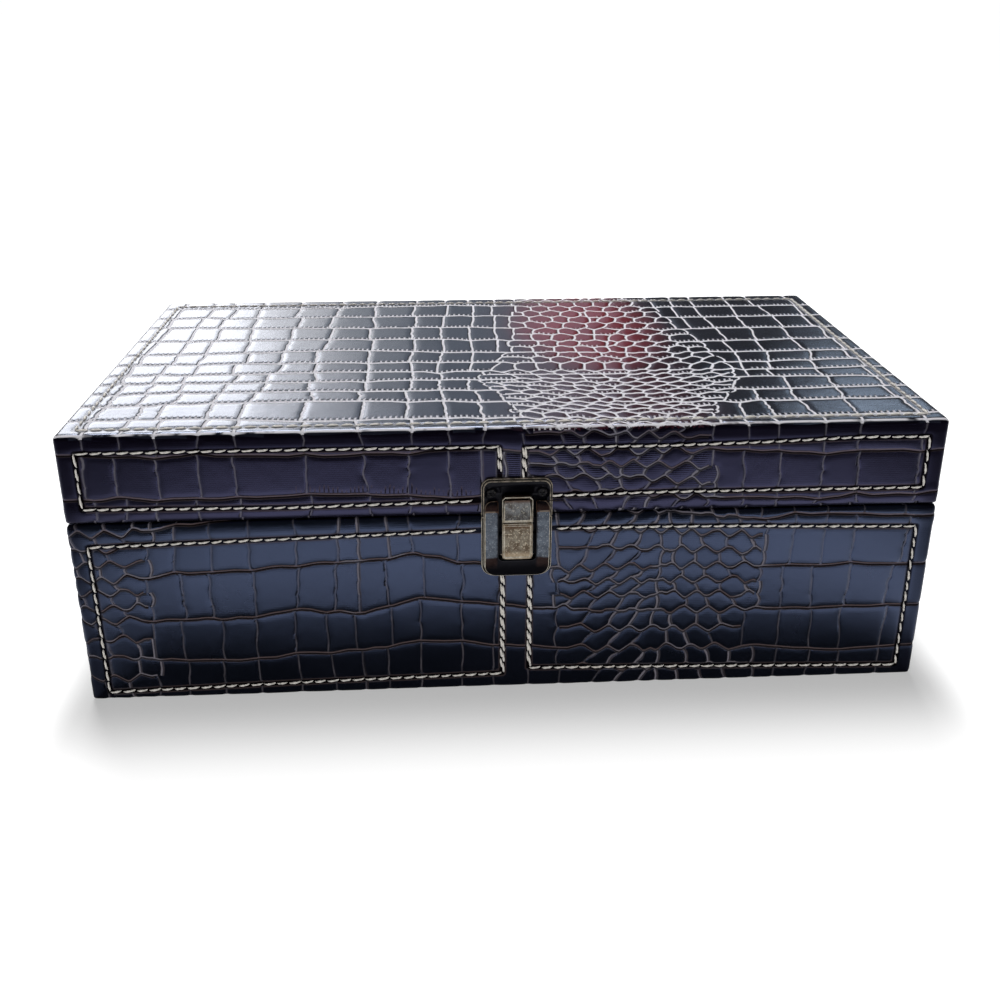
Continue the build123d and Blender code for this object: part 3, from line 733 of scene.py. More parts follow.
# %% Sections of the cover
bend, rim_bend, foot_bend, foot_level = 2.0, 1.7, 1.2, 0.2
arc, rim_arc, foot_arc = (radius * math.pi / 2 for radius in (bend, rim_bend, foot_bend))
rim_thick = 8.0
rim_flat = rim_thick - 2 * rim_bend
rim_end = 3.0  # of sheet inside the box, past the rim's second bend
rim_swell, swell_reach = 0.3, 8.5


def swell_at(depth, tall):
    """How far a wall stands proud near its rim, where the folded sheet is thick."""
    near_rim = np.clip((tall - depth) / swell_reach, 0, 1)
    return rim_swell * np.sin(np.pi * near_rim ** 0.75) ** 1.5 * (near_rim < 1)


def wall_section(depth, rim, up=1.0):
    """The wall from its bend to the turned rim, by distance travelled past the bend.

    up is 1 for the lid, whose rim is below, and -1 for the base, whose rim is above.
    Gives how far in from the outside, the height, and the outward direction.
    """
    start = top_level - bend if up > 0 else foot_level + foot_bend
    tall = abs(start - rim) - rim_bend
    turn = np.clip((depth - tall) / rim_bend, 0, math.pi / 2)
    flat = np.clip(depth - tall - rim_arc, 0, rim_flat)
    turn_in = np.clip((depth - tall - rim_arc - rim_flat) / rim_bend, 0, math.pi / 2)
    inner = np.clip(depth - tall - 2 * rim_arc - rim_flat, 0, None)
    inward = rim_bend * (1 - np.cos(turn)) + flat + rim_bend * np.sin(turn_in)
    height = start - up * np.clip(depth, 0, tall) - up * rim_bend * np.sin(turn)
    height = height + up * rim_bend * (1 - np.cos(turn_in)) + up * inner
    out = np.cos(turn) * (turn_in <= 0) - np.sin(turn_in)
    rise = -up * np.sin(turn) * np.cos(turn_in)
    return inward - swell_at(depth, tall), height, out, rise


def section(w, half, rim):
    """Section of the whole strip by distance from its middle: flat, bend, then the wall."""
    sign, far = np.sign(w), np.abs(w)
    turn = np.clip((far - (half - bend)) / bend, 0, math.pi / 2)
    inward, height, out, rise = wall_section(far - (half - bend) - arc, rim)
    on_wall = far > half - bend + arc
    side = np.where(on_wall, half - inward, np.minimum(far, half - bend) + bend * np.sin(turn))
    tall = np.where(on_wall, height, top_level - bend + bend * np.cos(turn))
    out = np.where(on_wall, out, np.sin(turn))
    rise = np.where(on_wall, rise, np.cos(turn))
    return sign * side, tall, sign * out, rise, np.where(on_wall, np.clip(inward, 0, rim_thick), 0)


# %% The lid's grooves
# The strip is measured by w, the distance across it from the middle of the top,
# below zero towards the front. Each line below is one long groove at the stations,
# and a single number holds at all of them.
wall_length = top_level - bend - lid_rim - rim_bend
rim_start = half_y - bend + arc + wall_length
strip_end = rim_start + 2 * rim_arc + rim_flat + rim_end
lid_stations = [-165, -120, -78, -20, 45, 84, 125, 170]
lid_lines = [
    -strip_end, -rim_start,
    (-121.1, -122.0, -121.2, -122.6, -122.1, -126.6, -127.6, -126.0),
    (-102.4, -103.4, -104.8, -102.2, -104.5, -105.6, -107.8, -107.2),
    (-80.0, -79.2, -84.2, -82.5, -85.0, -88.0, -88.0, -87.0),
    (-64.5, -62.8, -61.5, -65.5, -68.0, -70.0, -70.0, -70.0),
    (-50.0, -50.0, -49.5, -50.5, -54.0, -56.0, -56.5, -55.5),
    (-37.5, -37.5, -37.8, -37.0, -39.5, -41.0, -41.0, -41.5),
    (-27.0, -26.0, -25.0, -26.0, -28.5, -30.5, -31.5, -30.0),
    (-12.5, -12.3, -12.0, -13.5, -17.0, -20.5, -19.0, -17.5),
    (3.5, 3.5, 6.3, 0.5, -3.0, -5.5, -4.5, -3.0),
    (24.0, 23.5, 24.0, 20.0, 15.5, 13.0, 13.0, 13.5),
    (46.0, 43.5, 43.0, 41.5, 36.0, 33.5, 33.5, 33.0),
    (64.0, 63.0, 62.5, 62.0, 57.0, 54.0, 54.0, 54.5),
    (81.5, 81.5, 81.0, 81.5, 77.0, 74.5, 74.3, 74.0),
    101.0, 119.5, rim_start, strip_end,
]
lid_splits = [1, 1, 3, 3, 4, 3, 3, 2, 1, 2, 2, 2, 2, 2, 2, 2, 1, 1]
lid_heights = [-108, -78, -30, 0, 85]
lid_columns = [
    (-151.5, -149, -150, -150, -150), (-138, -138.5, -137, -137, -137), (-123, -121, -117, -118, -122),
    (-106, -106, -101, -99, -101), (-81, -81, -83, -83, -80), (-55, -59, -59, -60, -63),
    (-39, -40, -41, -41, -39), (-24, -24.5, -28, -26, -23.5), (-11.5, -11, -15, -12, -10),
    (-1, 0, -6, -1, 1.5), (95, 92, 100, 100, 98), (108, 105, 109, 112, 109.6), (123.7, 121, 121, 126, 130),
    (139.5, 139.6, 142, 147, 145.4), (-163.5,) * 5, (164.5,) * 5, (-205,) * 5, (205,) * 5,
]
lid_belt = [((8, 1, -8, 6, 12), (82, 84, 106, 98, 88))]


def lid_slide(w):
    """In front of the line where the pattern mirrors the small grooves fan out; behind it they lean right."""
    past = w + 27.0
    return (-0.42 * past, 0.42 * past) if past < 0 else (0.04 * past, 0.22 * past)


# %% Build the strip over the lid
flap = 1.3
straight = np.linspace(-(half_x - bend), half_x - bend, 321)
corner = half_x - bend + np.array([0.8, 1.6, 2.4, arc, arc + flap / 2, arc + flap])
lid_along = np.concatenate([-corner[::-1], straight, corner])
lid_w, lid_corners, lid_gap = scale_sheet(
    lid_along, lid_stations, lid_lines, lid_splits, lid_columns, lid_belt, lid_heights,
    plain=(0, 1, len(lid_lines) - 2, len(lid_lines) - 1), slide=lid_slide, seed=3,
)
crown_height, crown_reach, thread_sink = 0.30, 1.2, 0.35


def lifted(gap, seam):
    """How far the sheet stands off its board: scales crown towards their middles, threads pull it down."""
    crown = crown_height * (1 - np.exp(-(np.clip(gap, 0, None) / crown_reach) ** 2)) - crown_height * 0.6
    return crown - thread_sink * np.exp(-seam ** 2)


def strip_points(along, w, lift):
    """Carries the section along the box and turns its ends round the corners."""
    side, tall, out, rise, inward = section(w, half_y, lid_rim)
    far = np.abs(along)[None] + 0 * w
    radius = np.where(inward > 0.2, rim_bend, bend)
    fold = np.clip(1 - inward / rim_bend, 0, 1)
    turn = np.clip((far - (half_x - bend)) / bend, 0, math.pi / 2) * fold
    past = np.clip(far - (half_x - bend) - arc, 0, None) * fold
    inner = half_x - radius - np.clip(inward - rim_bend, 0, None)
    core = np.minimum(far, half_x - bend) * inner / (half_x - bend)
    x = np.sign(along) * (core + (radius + lift) * np.sin(turn))
    y = side - radius * out + (radius + lift) * np.cos(turn) * out - past * out
    z = tall - radius * rise + (radius + lift) * np.cos(turn) * rise - past * rise
    return np.stack([x, y, z], -1)


_, lid_tall, _, _, lid_in = section(lid_w, half_y, lid_rim)
grid_x = np.broadcast_to(lid_along, lid_w.shape)
on_top = far_from_seam(grid_x, lid_w, "lid_top")
on_front = far_from_seam(grid_x, lid_tall, "lid_front")
on_back = far_from_seam(grid_x, lid_tall, "lid_back")
lid_seam = np.where(np.abs(lid_w) < half_y, on_top, np.where(lid_w < 0, on_front, on_back))
edge_calm = np.clip((half_x - np.abs(grid_x)) / 4, 0.15, 1) * (lid_in < 1)
lid_points = strip_points(lid_along, lid_w, lifted(lid_gap, lid_seam) * edge_calm)
face_tall = (lid_points[:-1, :-1, 2] + lid_points[1:, 1:, 2]) / 2
# Above this height the strip takes the top's lighter painted copy, below it the walls' darker one.
wall_finish_below = 118.3
lid_cover = piece(
    "lid_cover_strip", lid_points.reshape(-1, 3), quads_of(*lid_w.shape), "lid", leather_top,
    packed(lid_corners), {"seam": lid_seam}, (leather_lid, (face_tall < wall_finish_below).ravel()),
)
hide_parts("lid_cover")

# %% [markdown]
# ## The end panels of the lid
#
# Each end is closed by a panel laid over the turned ends of the strip, with the
# same rim rolled under it. Its corners at the rim are mitred, so the rim meets
# the strip's rim on a line at 45 degrees.

# %% Build the end panels
def own_columns(left, right, count):
    """Columns for a face of its own: even steps, each moved by chance and a little more at every height."""
    steps = max(1, round((right - left) / broad_width))
    places = left + (right - left) * np.linspace(0, 1, steps + 1)
    places[1:-1] += chance.uniform(-0.2, 0.2, steps - 1) * (right - left) / steps
    drift = chance.uniform(-1.6, 1.6, (len(places), count)).cumsum(1)
    return [tuple(place + shift) for place, shift in zip(places, drift)]


def end_panel(name, sign):
    """The wall section carried along y, at the right end for sign 1 and at the left end for -1."""
    reach = half_y - 2.6  # half the panel's width above the mitre
    along = np.linspace(-reach, reach, 172)
    length = strip_end - (half_y - bend + arc)
    lines = [-length, -wall_length, (-26.5, -25.0, -24.5, -26.0), (-7.5, -8.6, -7.8, -8.2), 12.0]
    belt = [((-32, -28, -34), (36, 42, 38))]
    depth, corners, gap = scale_sheet(
        along, [-90, -30, 30, 90], lines, [1, 1, 2, 2], own_columns(-108, 108, 3), belt, [-30, -15, 0],
        plain=(0, 1), seed=7 + sign,
    )
    inward, tall, out, rise = wall_section(-np.minimum(-0.4, depth), lid_rim)
    seam = far_from_seam(np.broadcast_to(along, depth.shape), tall, "lid_side")
    inside = np.clip(inward, 0, rim_thick)
    mitre = np.clip(inside / rim_bend, 0, 1)
    y = along[None] / reach * (reach * (1 - mitre) + (half_y - inside) * mitre)
    lift = (lifted(gap, seam) + 0.18) * np.where(inward > 1, 0, 1)
    points = np.stack([sign * (half_x - inward + lift * out), y, tall + lift * rise], -1)
    quads = quads_of(*depth.shape)[:, ::sign]
    made = piece(
        name, points.reshape(-1, 3), quads, "lid", leather_lid, packed(corners, sign < 0), {"seam": seam}
    )


for name, sign in (("lid_cover_right_end", 1), ("lid_cover_left_end", -1)):
    end_panel(name, sign)

# %% [markdown]
# ## The base's cover
#
# The base is wrapped round and round by one band. Its section starts under the
# box, bends up, swells at the rim and turns inside. The band is closed behind.

# %% A path round the box
core_x, core_y = half_x - bend, half_y - bend
side_x, side_y = 2 * core_x, 2 * core_y
whole = 2 * (side_x + side_y) + 4 * arc
ring_lengths = np.array([side_x, arc, side_y, arc] * 2)
ring_starts = np.concatenate([[0], np.cumsum(ring_lengths)])
ring_corners = np.array([(-core_x, -core_y), (core_x, -core_y), (core_x, core_y), (-core_x, core_y)])


def ring_place(u):
    """A path round the box by distance u from the middle of its front, turning to the right.

    Gives the straight part of each point on the core rectangle and the outward direction.
    The path has eight parts: a side and then the corner at its end, four times.
    """
    u = (u + side_x / 2) % whole
    part = np.clip(np.searchsorted(ring_starts, u, side="right") - 1, 0, 7)
    share = (u - ring_starts[part]) / ring_lengths[part]
    start, end = ring_corners[(part + 1) // 2 % 4], ring_corners[(part // 2 + 1) % 4]
    angle = np.radians(-90 + 90 * (part // 2)) + np.where(part % 2 == 1, share * math.pi / 2, 0)
    return start + (end - start) * share[:, None], np.stack([np.cos(angle), np.sin(angle)], -1)


under_width = 1.6  # of sheet turned in under the box


def base_section(height):
    """The band's section by unrolled height; below zero it turns under the box."""
    inward, tall, out, rise = wall_section(height, base_rim, up=-1.0)
    turn = np.clip(-height / foot_bend, 0, math.pi / 2)
    under = np.clip(-height - foot_arc, 0, None)
    below = height < 0
    inward = np.where(below, foot_bend * (1 - np.cos(turn)) + np.minimum(under, under_width), inward)
    inside = np.clip(under - under_width, 0, None)
    tall = np.where(below, foot_level + foot_bend * (1 - np.sin(turn)) + inside, tall)
    return inward, tall, np.where(below, np.cos(turn), out), np.where(below, -np.sin(turn), rise)


def ring_points(u, inward, tall, out, rise, lift):
    """Puts the section round the path: the core shrinks where the section goes in past the bend."""
    core, way = ring_place(u)
    radius = np.clip(bend - inward, 0.25, None)
    half = np.stack([half_x - inward - radius, half_y - inward - radius], -1)
    spot = core[None] * half / [core_x, core_y] + way[None] * (radius + lift * out)[..., None]
    return np.concatenate([spot, (tall + lift * rise)[..., None]], -1)


# %% The base's grooves
cell_width = 1.12  # of the mesh
knots = []
for length, start in zip(ring_lengths, ring_starts):
    count = 4 if length == arc else round(length / cell_width)
    knots.append(start + np.linspace(0, length, count + 1)[:-1])
base_along = np.concatenate(knots) - side_x / 2
base_along = np.sort((base_along + whole / 2) % whole - whole / 2)
base_along = np.append(base_along, base_along[0] + whole)
wall_tall = base_rim - rim_bend - foot_level - foot_bend
base_top = wall_tall + 2 * rim_arc + rim_flat + rim_end
foot = foot_level + foot_bend
base_stations = [-whole / 2, -300, -160, -105, -86, -60, -38, -6, 22, 40, 104, 130, 165, 300, whole / 2]
groove_heights = [
    (16.0, 18.0, 21.5, 17.0, 19.4, 20.8, 23.8, 21.3, 18.5, 16.5, 17.0, 14.0, 15.6, 18.0, 16.0),
    (36.5, 35.0, 37.3, 38.1, 40.5, 38.6, 44.6, 41.2, 38.6, 37.0, 35.0, 34.2, 34.8, 38.0, 36.5),
    (57.0, 58.0, 57.2, 60.2, 61.2, 61.5, 65.0, 58.8, 56.6, 57.6, 56.0, 55.6, 55.3, 58.5, 57.0),
]
rim_line = (79.0, 78.6, 77.2, 84.0, 84.5, 84.5, 84.5, 84.5, 84.5, 84.0, 76.8, 78.4, 77.2, 78.4, 79.0)
wall_lines = [tuple(z - foot for z in line) for line in groove_heights + [rim_line]]
base_lines = [-5.0, -foot_arc] + wall_lines + [base_top]
base_splits = [1, 2, 2, 3, 3, 1]
base_heights = [0, 28, 48, 70]
front_columns = [
    (-133.5, -133.5, -135, -134), (-119.5, -120, -120, -119.5), (-104, -104.5, -104, -104),
    (-88, -88.5, -87.3, -85), (-74, -75, -72, -69), (-61.5, -62.5, -61, -62), (-50.4, -49.5, -48, -51),
    (-36.4, -36.6, -37.5, -40), (-20.4, -20.8, -20.4, -21), (-6, -6, -5.4, -6), (8, 8, 9, 10),
    (114, 114.3, 113.3, 115), (127.8, 127.8, 127.8, 129.2), (142, 142, 142.8, 143.5), (158, 158, 160.3, 164),
]
other_columns = own_columns(-whole / 2, -232, 4) + own_columns(178, 252, 4) + own_columns(346, whole / 2, 4)
other_columns = [line for line in other_columns if abs(abs(line[0]) - whole / 2) > 13]
base_columns = front_columns + other_columns + [(-whole / 2,) * 4, (whole / 2,) * 4]
base_belts = [
    ((-470, -474, -466, -470), (-386, -382, -390, -384)),
    ((-229, -233, -228, -230), (-146.5, -145, -146, -144)),
    ((18, 20, 20, 14), (103, 101, 103, 103)),
    ((256, 252, 258, 254), (342, 346, 340, 343)),
]


def base_slide(height):
    """Small grooves lean towards their belt's middle as they rise: much on its left, little on its right."""
    return 0.5 * height, -0.15 * height


# %% Build the band round the base
base_w, base_corners, base_gap = scale_sheet(
    base_along, base_stations, base_lines, base_splits, base_columns, base_belts, base_heights,
    plain=(0, 1, len(base_lines) - 1), slide=base_slide, seed=11, turn=whole,
)
base_inward, base_tall, base_out, base_rise = base_section(base_w)
core, way = ring_place(base_along)
outer = core + way * bend
outer_x, outer_y = (np.broadcast_to(outer[:, axis], base_w.shape) for axis in (0, 1))
seam_front = far_from_seam(outer_x, base_tall, "base_front")
seam_back = far_from_seam(outer_x, base_tall, "base_back")
seam_side = far_from_seam(outer_y, base_tall, "base_side")
facing = np.abs(way[:, 1]) > 0.7
base_seam = np.where(facing, np.where(way[:, 1] < 0, seam_front, seam_back), seam_side)
lift = lifted(base_gap, base_seam) * (base_inward < 1)
base_points = ring_points(base_along, base_inward, base_tall, base_out, base_rise, lift)
base_cover = piece(
    "base_cover_band", base_points[:, :-1].reshape(-1, 3), quads_of(*base_w.shape, closed=True), "base",
    leather_base, packed(base_corners), {"seam": base_seam[:, :-1]},
)
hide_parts("base_cover")

# %% [markdown]
# ## Stitches
#
# Each stitch is a short loop of two-ply waxed thread that dips into a needle hole
# at both ends. A bevelled curve would give smooth sausages, so each one is a tube
# on a grid: round the thread one way, along it the other, thin at the ends, with
# the two plies twisting. Beside the latch two seams run so close that their
# strands cross. All the stitches of a body are one mesh.

# %% The thread finish
f = Finish("waxed_thread")
ply = f.math("SINE", f.stored("twist"))
fibre = f.noise(f.place(), 2500.0, 3.0, 0.7)
aged = f.noise(f.place(), 55.0, 2.0)
cream = f.mix(fibre, (0.86, 0.81, 0.74), (0.98, 0.96, 0.92))
cream = f.mix(aged.step(0.5, 0.8) * 0.3, cream, (0.70, 0.58, 0.46))
# Painted shade: the valley between the two plies is darkened.
cream = f.mix(ply.step(-0.6, -1.0) * 0.3, cream, (0.50, 0.42, 0.35))
thread = f.surface(Base_Color=cream, Roughness=0.6, Normal=f.bump(ply + fibre * 0.6, 0.00008), IOR=1.45)

# %% Make the stitches
sides, rings = 8, 8
thread_radius = 0.46
stitch_pitch, half_gap = 5.3, 0.16  # the gap is between two stitches
loose_cut = 0.07  # of the pitch
ply_twist = 7.0  # radians along one stitch


def walk(part, shift):
    """Both ends of each stitch along a chain of runs: even steps, each cut moved a little by chance."""
    corners = np.array([part[0][0]] + [end for start, end in part], float)
    travelled = np.concatenate([[0], np.cumsum(np.hypot(*np.diff(corners, axis=0).T))])
    count = max(1, round(travelled[-1] / stitch_pitch))
    cuts = (np.linspace(0, count, count + 1) + shift) * travelled[-1] / (count + shift)
    cuts[1:-1] += chance.uniform(-loose_cut, loose_cut, count - 1) * stitch_pitch
    return [np.stack([np.interp(cuts[keep] + gap, travelled, corners[:, axis]) for axis in (0, 1)], -1)
            for keep, gap in ((slice(None, -1), half_gap), (slice(1, None), -half_gap))]


def strands_of(part):
    """One strand for most seams; two that cross for the short upright seams beside the latch."""
    (a0, a1), (b0, b1) = part[0]
    upright = abs(b0 - a0) < 0.01 and abs(a0 - latch_x) < 9
    return ((-0.46, 0.30, 0.0), (0.46, 0.30, 0.5)) if upright else ((0.0, 0.26, 0.0),)


def stitch_ends(parts_on_faces):
    """Both ends of every stitch in space, and the way out of the sheet there."""
    starts, ends, outwards = [], [], []
    for parts, to_space, outward, keep in parts_on_faces:
        for part in parts:
            for beside, tilt, shift in strands_of(part):
                a, b = walk(part, shift)
                unit = (b - a) / np.linalg.norm(b - a, axis=1, keepdims=True)
                across = np.stack([-unit[:, 1], unit[:, 0]], -1)
                lean = (tilt + chance.uniform(-0.08, 0.08, (len(a), 1))) * across
                middle = (a + b) / 2
                wanted = keep(middle[:, 0], middle[:, 1])
                starts.append(to_space((a + across * beside - lean)[wanted]))
                ends.append(to_space((b + across * beside + lean)[wanted]))
                outwards.append(np.broadcast_to(outward, starts[-1].shape))
    return (np.concatenate(part) for part in (starts, ends, outwards))


def stitches(name, parts_on_faces, body, stands_for):
    """A twisted capsule for each stitch.

    Round the thread the radius swells twice by a seventh, once for each ply, and the swellings
    turn along the stitch. Along it the radius follows a half sine that is flattened by a power
    of 0.35, and the middle line dips at both ends.
    """
    a, b, outward = stitch_ends(parts_on_faces)
    turns = np.linspace(0, 2 * np.pi, sides, endpoint=False)
    share = np.linspace(0, 1, rings)
    direction = (b - a) / np.linalg.norm(b - a, axis=1, keepdims=True)
    beside = np.cross(outward, direction)
    bulk = np.sin(np.pi * np.clip(share, 0.02, 0.98)) ** 0.35
    size = thread_radius * (1 + chance.uniform(-0.10, 0.12, len(a)))
    phase = chance.uniform(0, 6.28, len(a))
    spin = (phase[:, None] + share * ply_twist)[..., None]
    angle = turns + 0 * spin
    radius = size[:, None, None] * bulk[:, None] * (1 + 0.14 * np.cos(2 * (angle - spin)))
    sink = 0.22 - 0.70 * (2 * share - 1) ** 4
    line = a[:, None] + (b - a)[:, None] * share[:, None] + outward[:, None] * sink[:, None]
    points = (line[:, :, None] + radius[..., None] * (
        np.cos(angle)[..., None] * beside[:, None, None] + np.sin(angle)[..., None] * outward[:, None, None]))
    ring = np.arange(sides)
    cell = np.stack([ring, (ring + 1) % sides, (ring + 1) % sides + sides, ring + sides], -1)
    tube = (np.arange(rings - 1)[:, None, None] * sides + cell).reshape(-1, 4)
    caps = np.array([[0, 1, 2, 3], [0, 3, 4, 7], [7, 4, 5, 6]])
    tube = np.concatenate([tube, caps[:, ::-1], caps + (rings - 1) * sides])
    quads = (np.arange(len(a))[:, None, None] * sides * rings + tube).reshape(-1, 4)
    twist = (2 * (angle - spin)).reshape(-1)
    made = piece(name, points.reshape(-1, 3), quads, body, thread, None, {"twist": twist})
    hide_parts(stands_for)
    print(name, "has", len(a), "stitches")


def on_wall(axis, level):
    """Maps (across, height) on a wall to space; axis 0 is an end wall and 1 is front or back.

    The points stand as far out as the sheet does where it swells towards a rim.
    """
    def to_space(flat):
        from_rim = np.minimum(np.abs(flat[:, 1] - lid_rim), np.abs(flat[:, 1] - base_rim)) - rim_bend
        out = level + math.copysign(1, level) * swell_at(0, from_rim)
        x, y = (out, flat[:, 0]) if axis == 0 else (flat[:, 0], out)
        return np.stack([x, y, flat[:, 1]], -1)
    return to_space


def on_lid_top(flat):
    return np.stack([flat[:, 0], flat[:, 1], np.full(len(flat), top_level)], -1)


def everywhere(first, second):
    return np.ones(len(first), bool)


hinge_x, lid_line = 110.0, 81.75


def clear_of_latch(first, second):
    return (np.abs(first - latch_x) > 14.6) | (second > 99.4) | (second < 54.2)


def clear_of_hinges(first, second):
    return (np.abs(np.abs(first) - hinge_x) > 16) | (np.abs(second - lid_line) > 18)


def around(body):
    """The seams of the four walls: front, back, right and left."""
    return [
        (seams[body + "_front"], on_wall(1, -half_y), (0, -1, 0), clear_of_latch),
        (seams[body + "_back"], on_wall(1, half_y), (0, 1, 0), clear_of_hinges),
        (seams[body + "_side"], on_wall(0, half_x), (1, 0, 0), everywhere),
        (seams[body + "_side"], on_wall(0, -half_x), (-1, 0, 0), everywhere),
    ]


lid_loop = (seams["lid_top"], on_lid_top, (0, 0, 1), everywhere)
stitches("lid_thread", [lid_loop] + around("lid"), "lid", "lid_stitching")
stitches("base_thread", around("base"), "base", "base_stitching")

# %% [markdown]
# ## Linings and the sheet underneath
#
# Inside, each wall and floor has a card wrapped in short velvet; under the box a
# flocked sheet keeps it from scratching a desk. A plain board with sharp edges
# looks like card, so each panel is a cushion of a few tenths of a millimetre:
# its edges are rolled and its face crowned.

# %% Velvet and flock
def pile(name, dark, light, scale, depth):
    """Short pile: two tones in soft patches with a fine broken surface, rough and with a sheen."""
    f = Finish(name)
    place = f.place()
    brushed = f.noise(f.stretched(place, (1.0, 1.0, 0.4)), 45.0, 4.0, 0.6)
    hairs = f.noise(place, scale, 2.0, 0.7)
    tone = f.mix(brushed.step(0.3, 0.7), dark, light)
    tone = f.mix(hairs.step(0.55, 0.75) * 0.3, tone, [0.55 * channel for channel in dark])
    return f.surface(
        Base_Color=tone, Roughness=0.95, Normal=f.bump(hairs + brushed * 0.4, depth),
        Sheen_Weight=0.35, Sheen_Roughness=0.4, IOR=1.3,
    )


velvet = pile("lining_velvet", (0.30, 0.21, 0.13), (0.42, 0.31, 0.20), 3200.0, 0.00012)
flock = pile("underside_flock", (0.012, 0.012, 0.014), (0.022, 0.022, 0.025), 3000.0, 0.0001)


# %% Rolled panels
def steps_across(length, edge):
    """Places across a panel: its border twice, close steps over each rolled edge and wide ones between."""
    near = edge * (1 - np.cos(np.linspace(0, np.pi / 2, 6)))
    inner = np.linspace(edge, length - edge, max(8, int(length / 9)))[1:-1]
    return np.concatenate([[0.0], near, inner, length - near[::-1], [length]])


def rolled_panel(node, axis, outward, finish, edge=0.7, crown=0.15):
    """A card wrapped in cloth that fills the CAD node's box.

    Two parameters cross the face. Near its border the face falls as a quarter circle of
    radius edge to the card's sides, and in the middle it stands higher by crown.
    """
    low, high = (np.array(corner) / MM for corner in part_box(node))
    others = [i for i in range(3) if i != axis]
    size = high - low
    first, second = np.meshgrid(*(steps_across(size[i], edge) for i in others), indexing="ij")
    gap_first = np.minimum(first, size[others[0]] - first)
    gap_second = np.minimum(second, size[others[1]] - second)
    gap = np.minimum(gap_first, gap_second)
    fall = edge - np.sqrt(np.clip(edge ** 2 - np.clip(edge - gap, 0, None) ** 2, 0, None))
    rise = crown * (1 - np.exp(-gap / 12)) - crown
    level = size[axis] - fall + rise * (gap > 0)
    border = np.zeros(first.shape, bool)
    border[[0, -1], :] = True
    border[:, [0, -1]] = True
    level[border] = 0.0
    points = np.zeros(first.shape + (3,))
    points[..., others[0]] = low[others[0]] + first
    points[..., others[1]] = low[others[1]] + second
    points[..., axis] = low[axis] + level if outward > 0 else high[axis] - level
    back = np.array([[0, first.shape[1] - 1, first.size - 1, first.size - first.shape[1]]])
    turning = (1 if axis != 1 else -1) * outward
    quads = np.concatenate([quads_of(*first.shape), back])[:, ::turning]
    body = "lid" if node.startswith("lid") else "base"
    made = piece(node + "_cloth", points.reshape(-1, 3), quads, body, finish)
    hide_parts(node)


for body in ("base", "lid"):
    for wall, axis, outward in (("front", 1, 1), ("back", 1, -1), ("left", 0, 1), ("right", 0, -1)):
        rolled_panel(f"{body}_{wall}_lining", axis, outward, velvet)
rolled_panel("base_floor_lining", 2, 1, velvet, crown=0.3)
rolled_panel("lid_top_lining", 2, -1, velvet, crown=0.3)
rolled_panel("underside_sheet", 2, -1, flock, edge=0.5, crown=0.0)

# %% [markdown]
# ## Boards
#
# The boards are fibreboard and hardly show, but an open lid or a cut model lets
# them be seen, so they get a pressed-fibre finish on their CAD meshes.

# %% Fibreboard
f = Finish("fibreboard")
place = f.place()
flecks = f.noise(f.stretched(place, (1.0, 1.0, 2.5)), 900.0, 4.0, 0.7)
tone = f.mix(f.noise(place, 20.0), (0.34, 0.22, 0.12), (0.43, 0.30, 0.18))
tone = f.mix(flecks.step(0.58, 0.7) * 0.6, tone, (0.15, 0.09, 0.05))
fibreboard = f.surface(Base_Color=tone, Roughness=0.85, Normal=f.bump(flecks, 0.0001))


def dress(name, finish):
    """Gives a CAD node a finish and leaves its mesh alone."""
    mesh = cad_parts[name].data
    mesh.materials.clear()
    mesh.materials.append(finish)


boards = [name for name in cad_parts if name.endswith("_board")]
for name in boards:
    dress(name, fibreboard)
print("boards:", len(boards))

# %% [markdown]
# ## Latch and hinges
#
# The latch is pressed and cast metal, plated in antique bronze: black in its
# hollows, steel blue on the rails, brassy on the button, bright along every
# edge. The CAD meshes are right in shape but sharp, and light never catches
# a perfectly sharp edge. A copy of each mesh has its doubles merged, then a Bevel
# modifier rounds the edges and gives the new faces a second finish, pale and hardly
# metallic, which is how the bright outlines come about: worn plating and a painted
# highlight. A plating wears by place, so the tones are chosen by height, by
# distance from the latch's middle and by depth. The spring inside rides on the base.

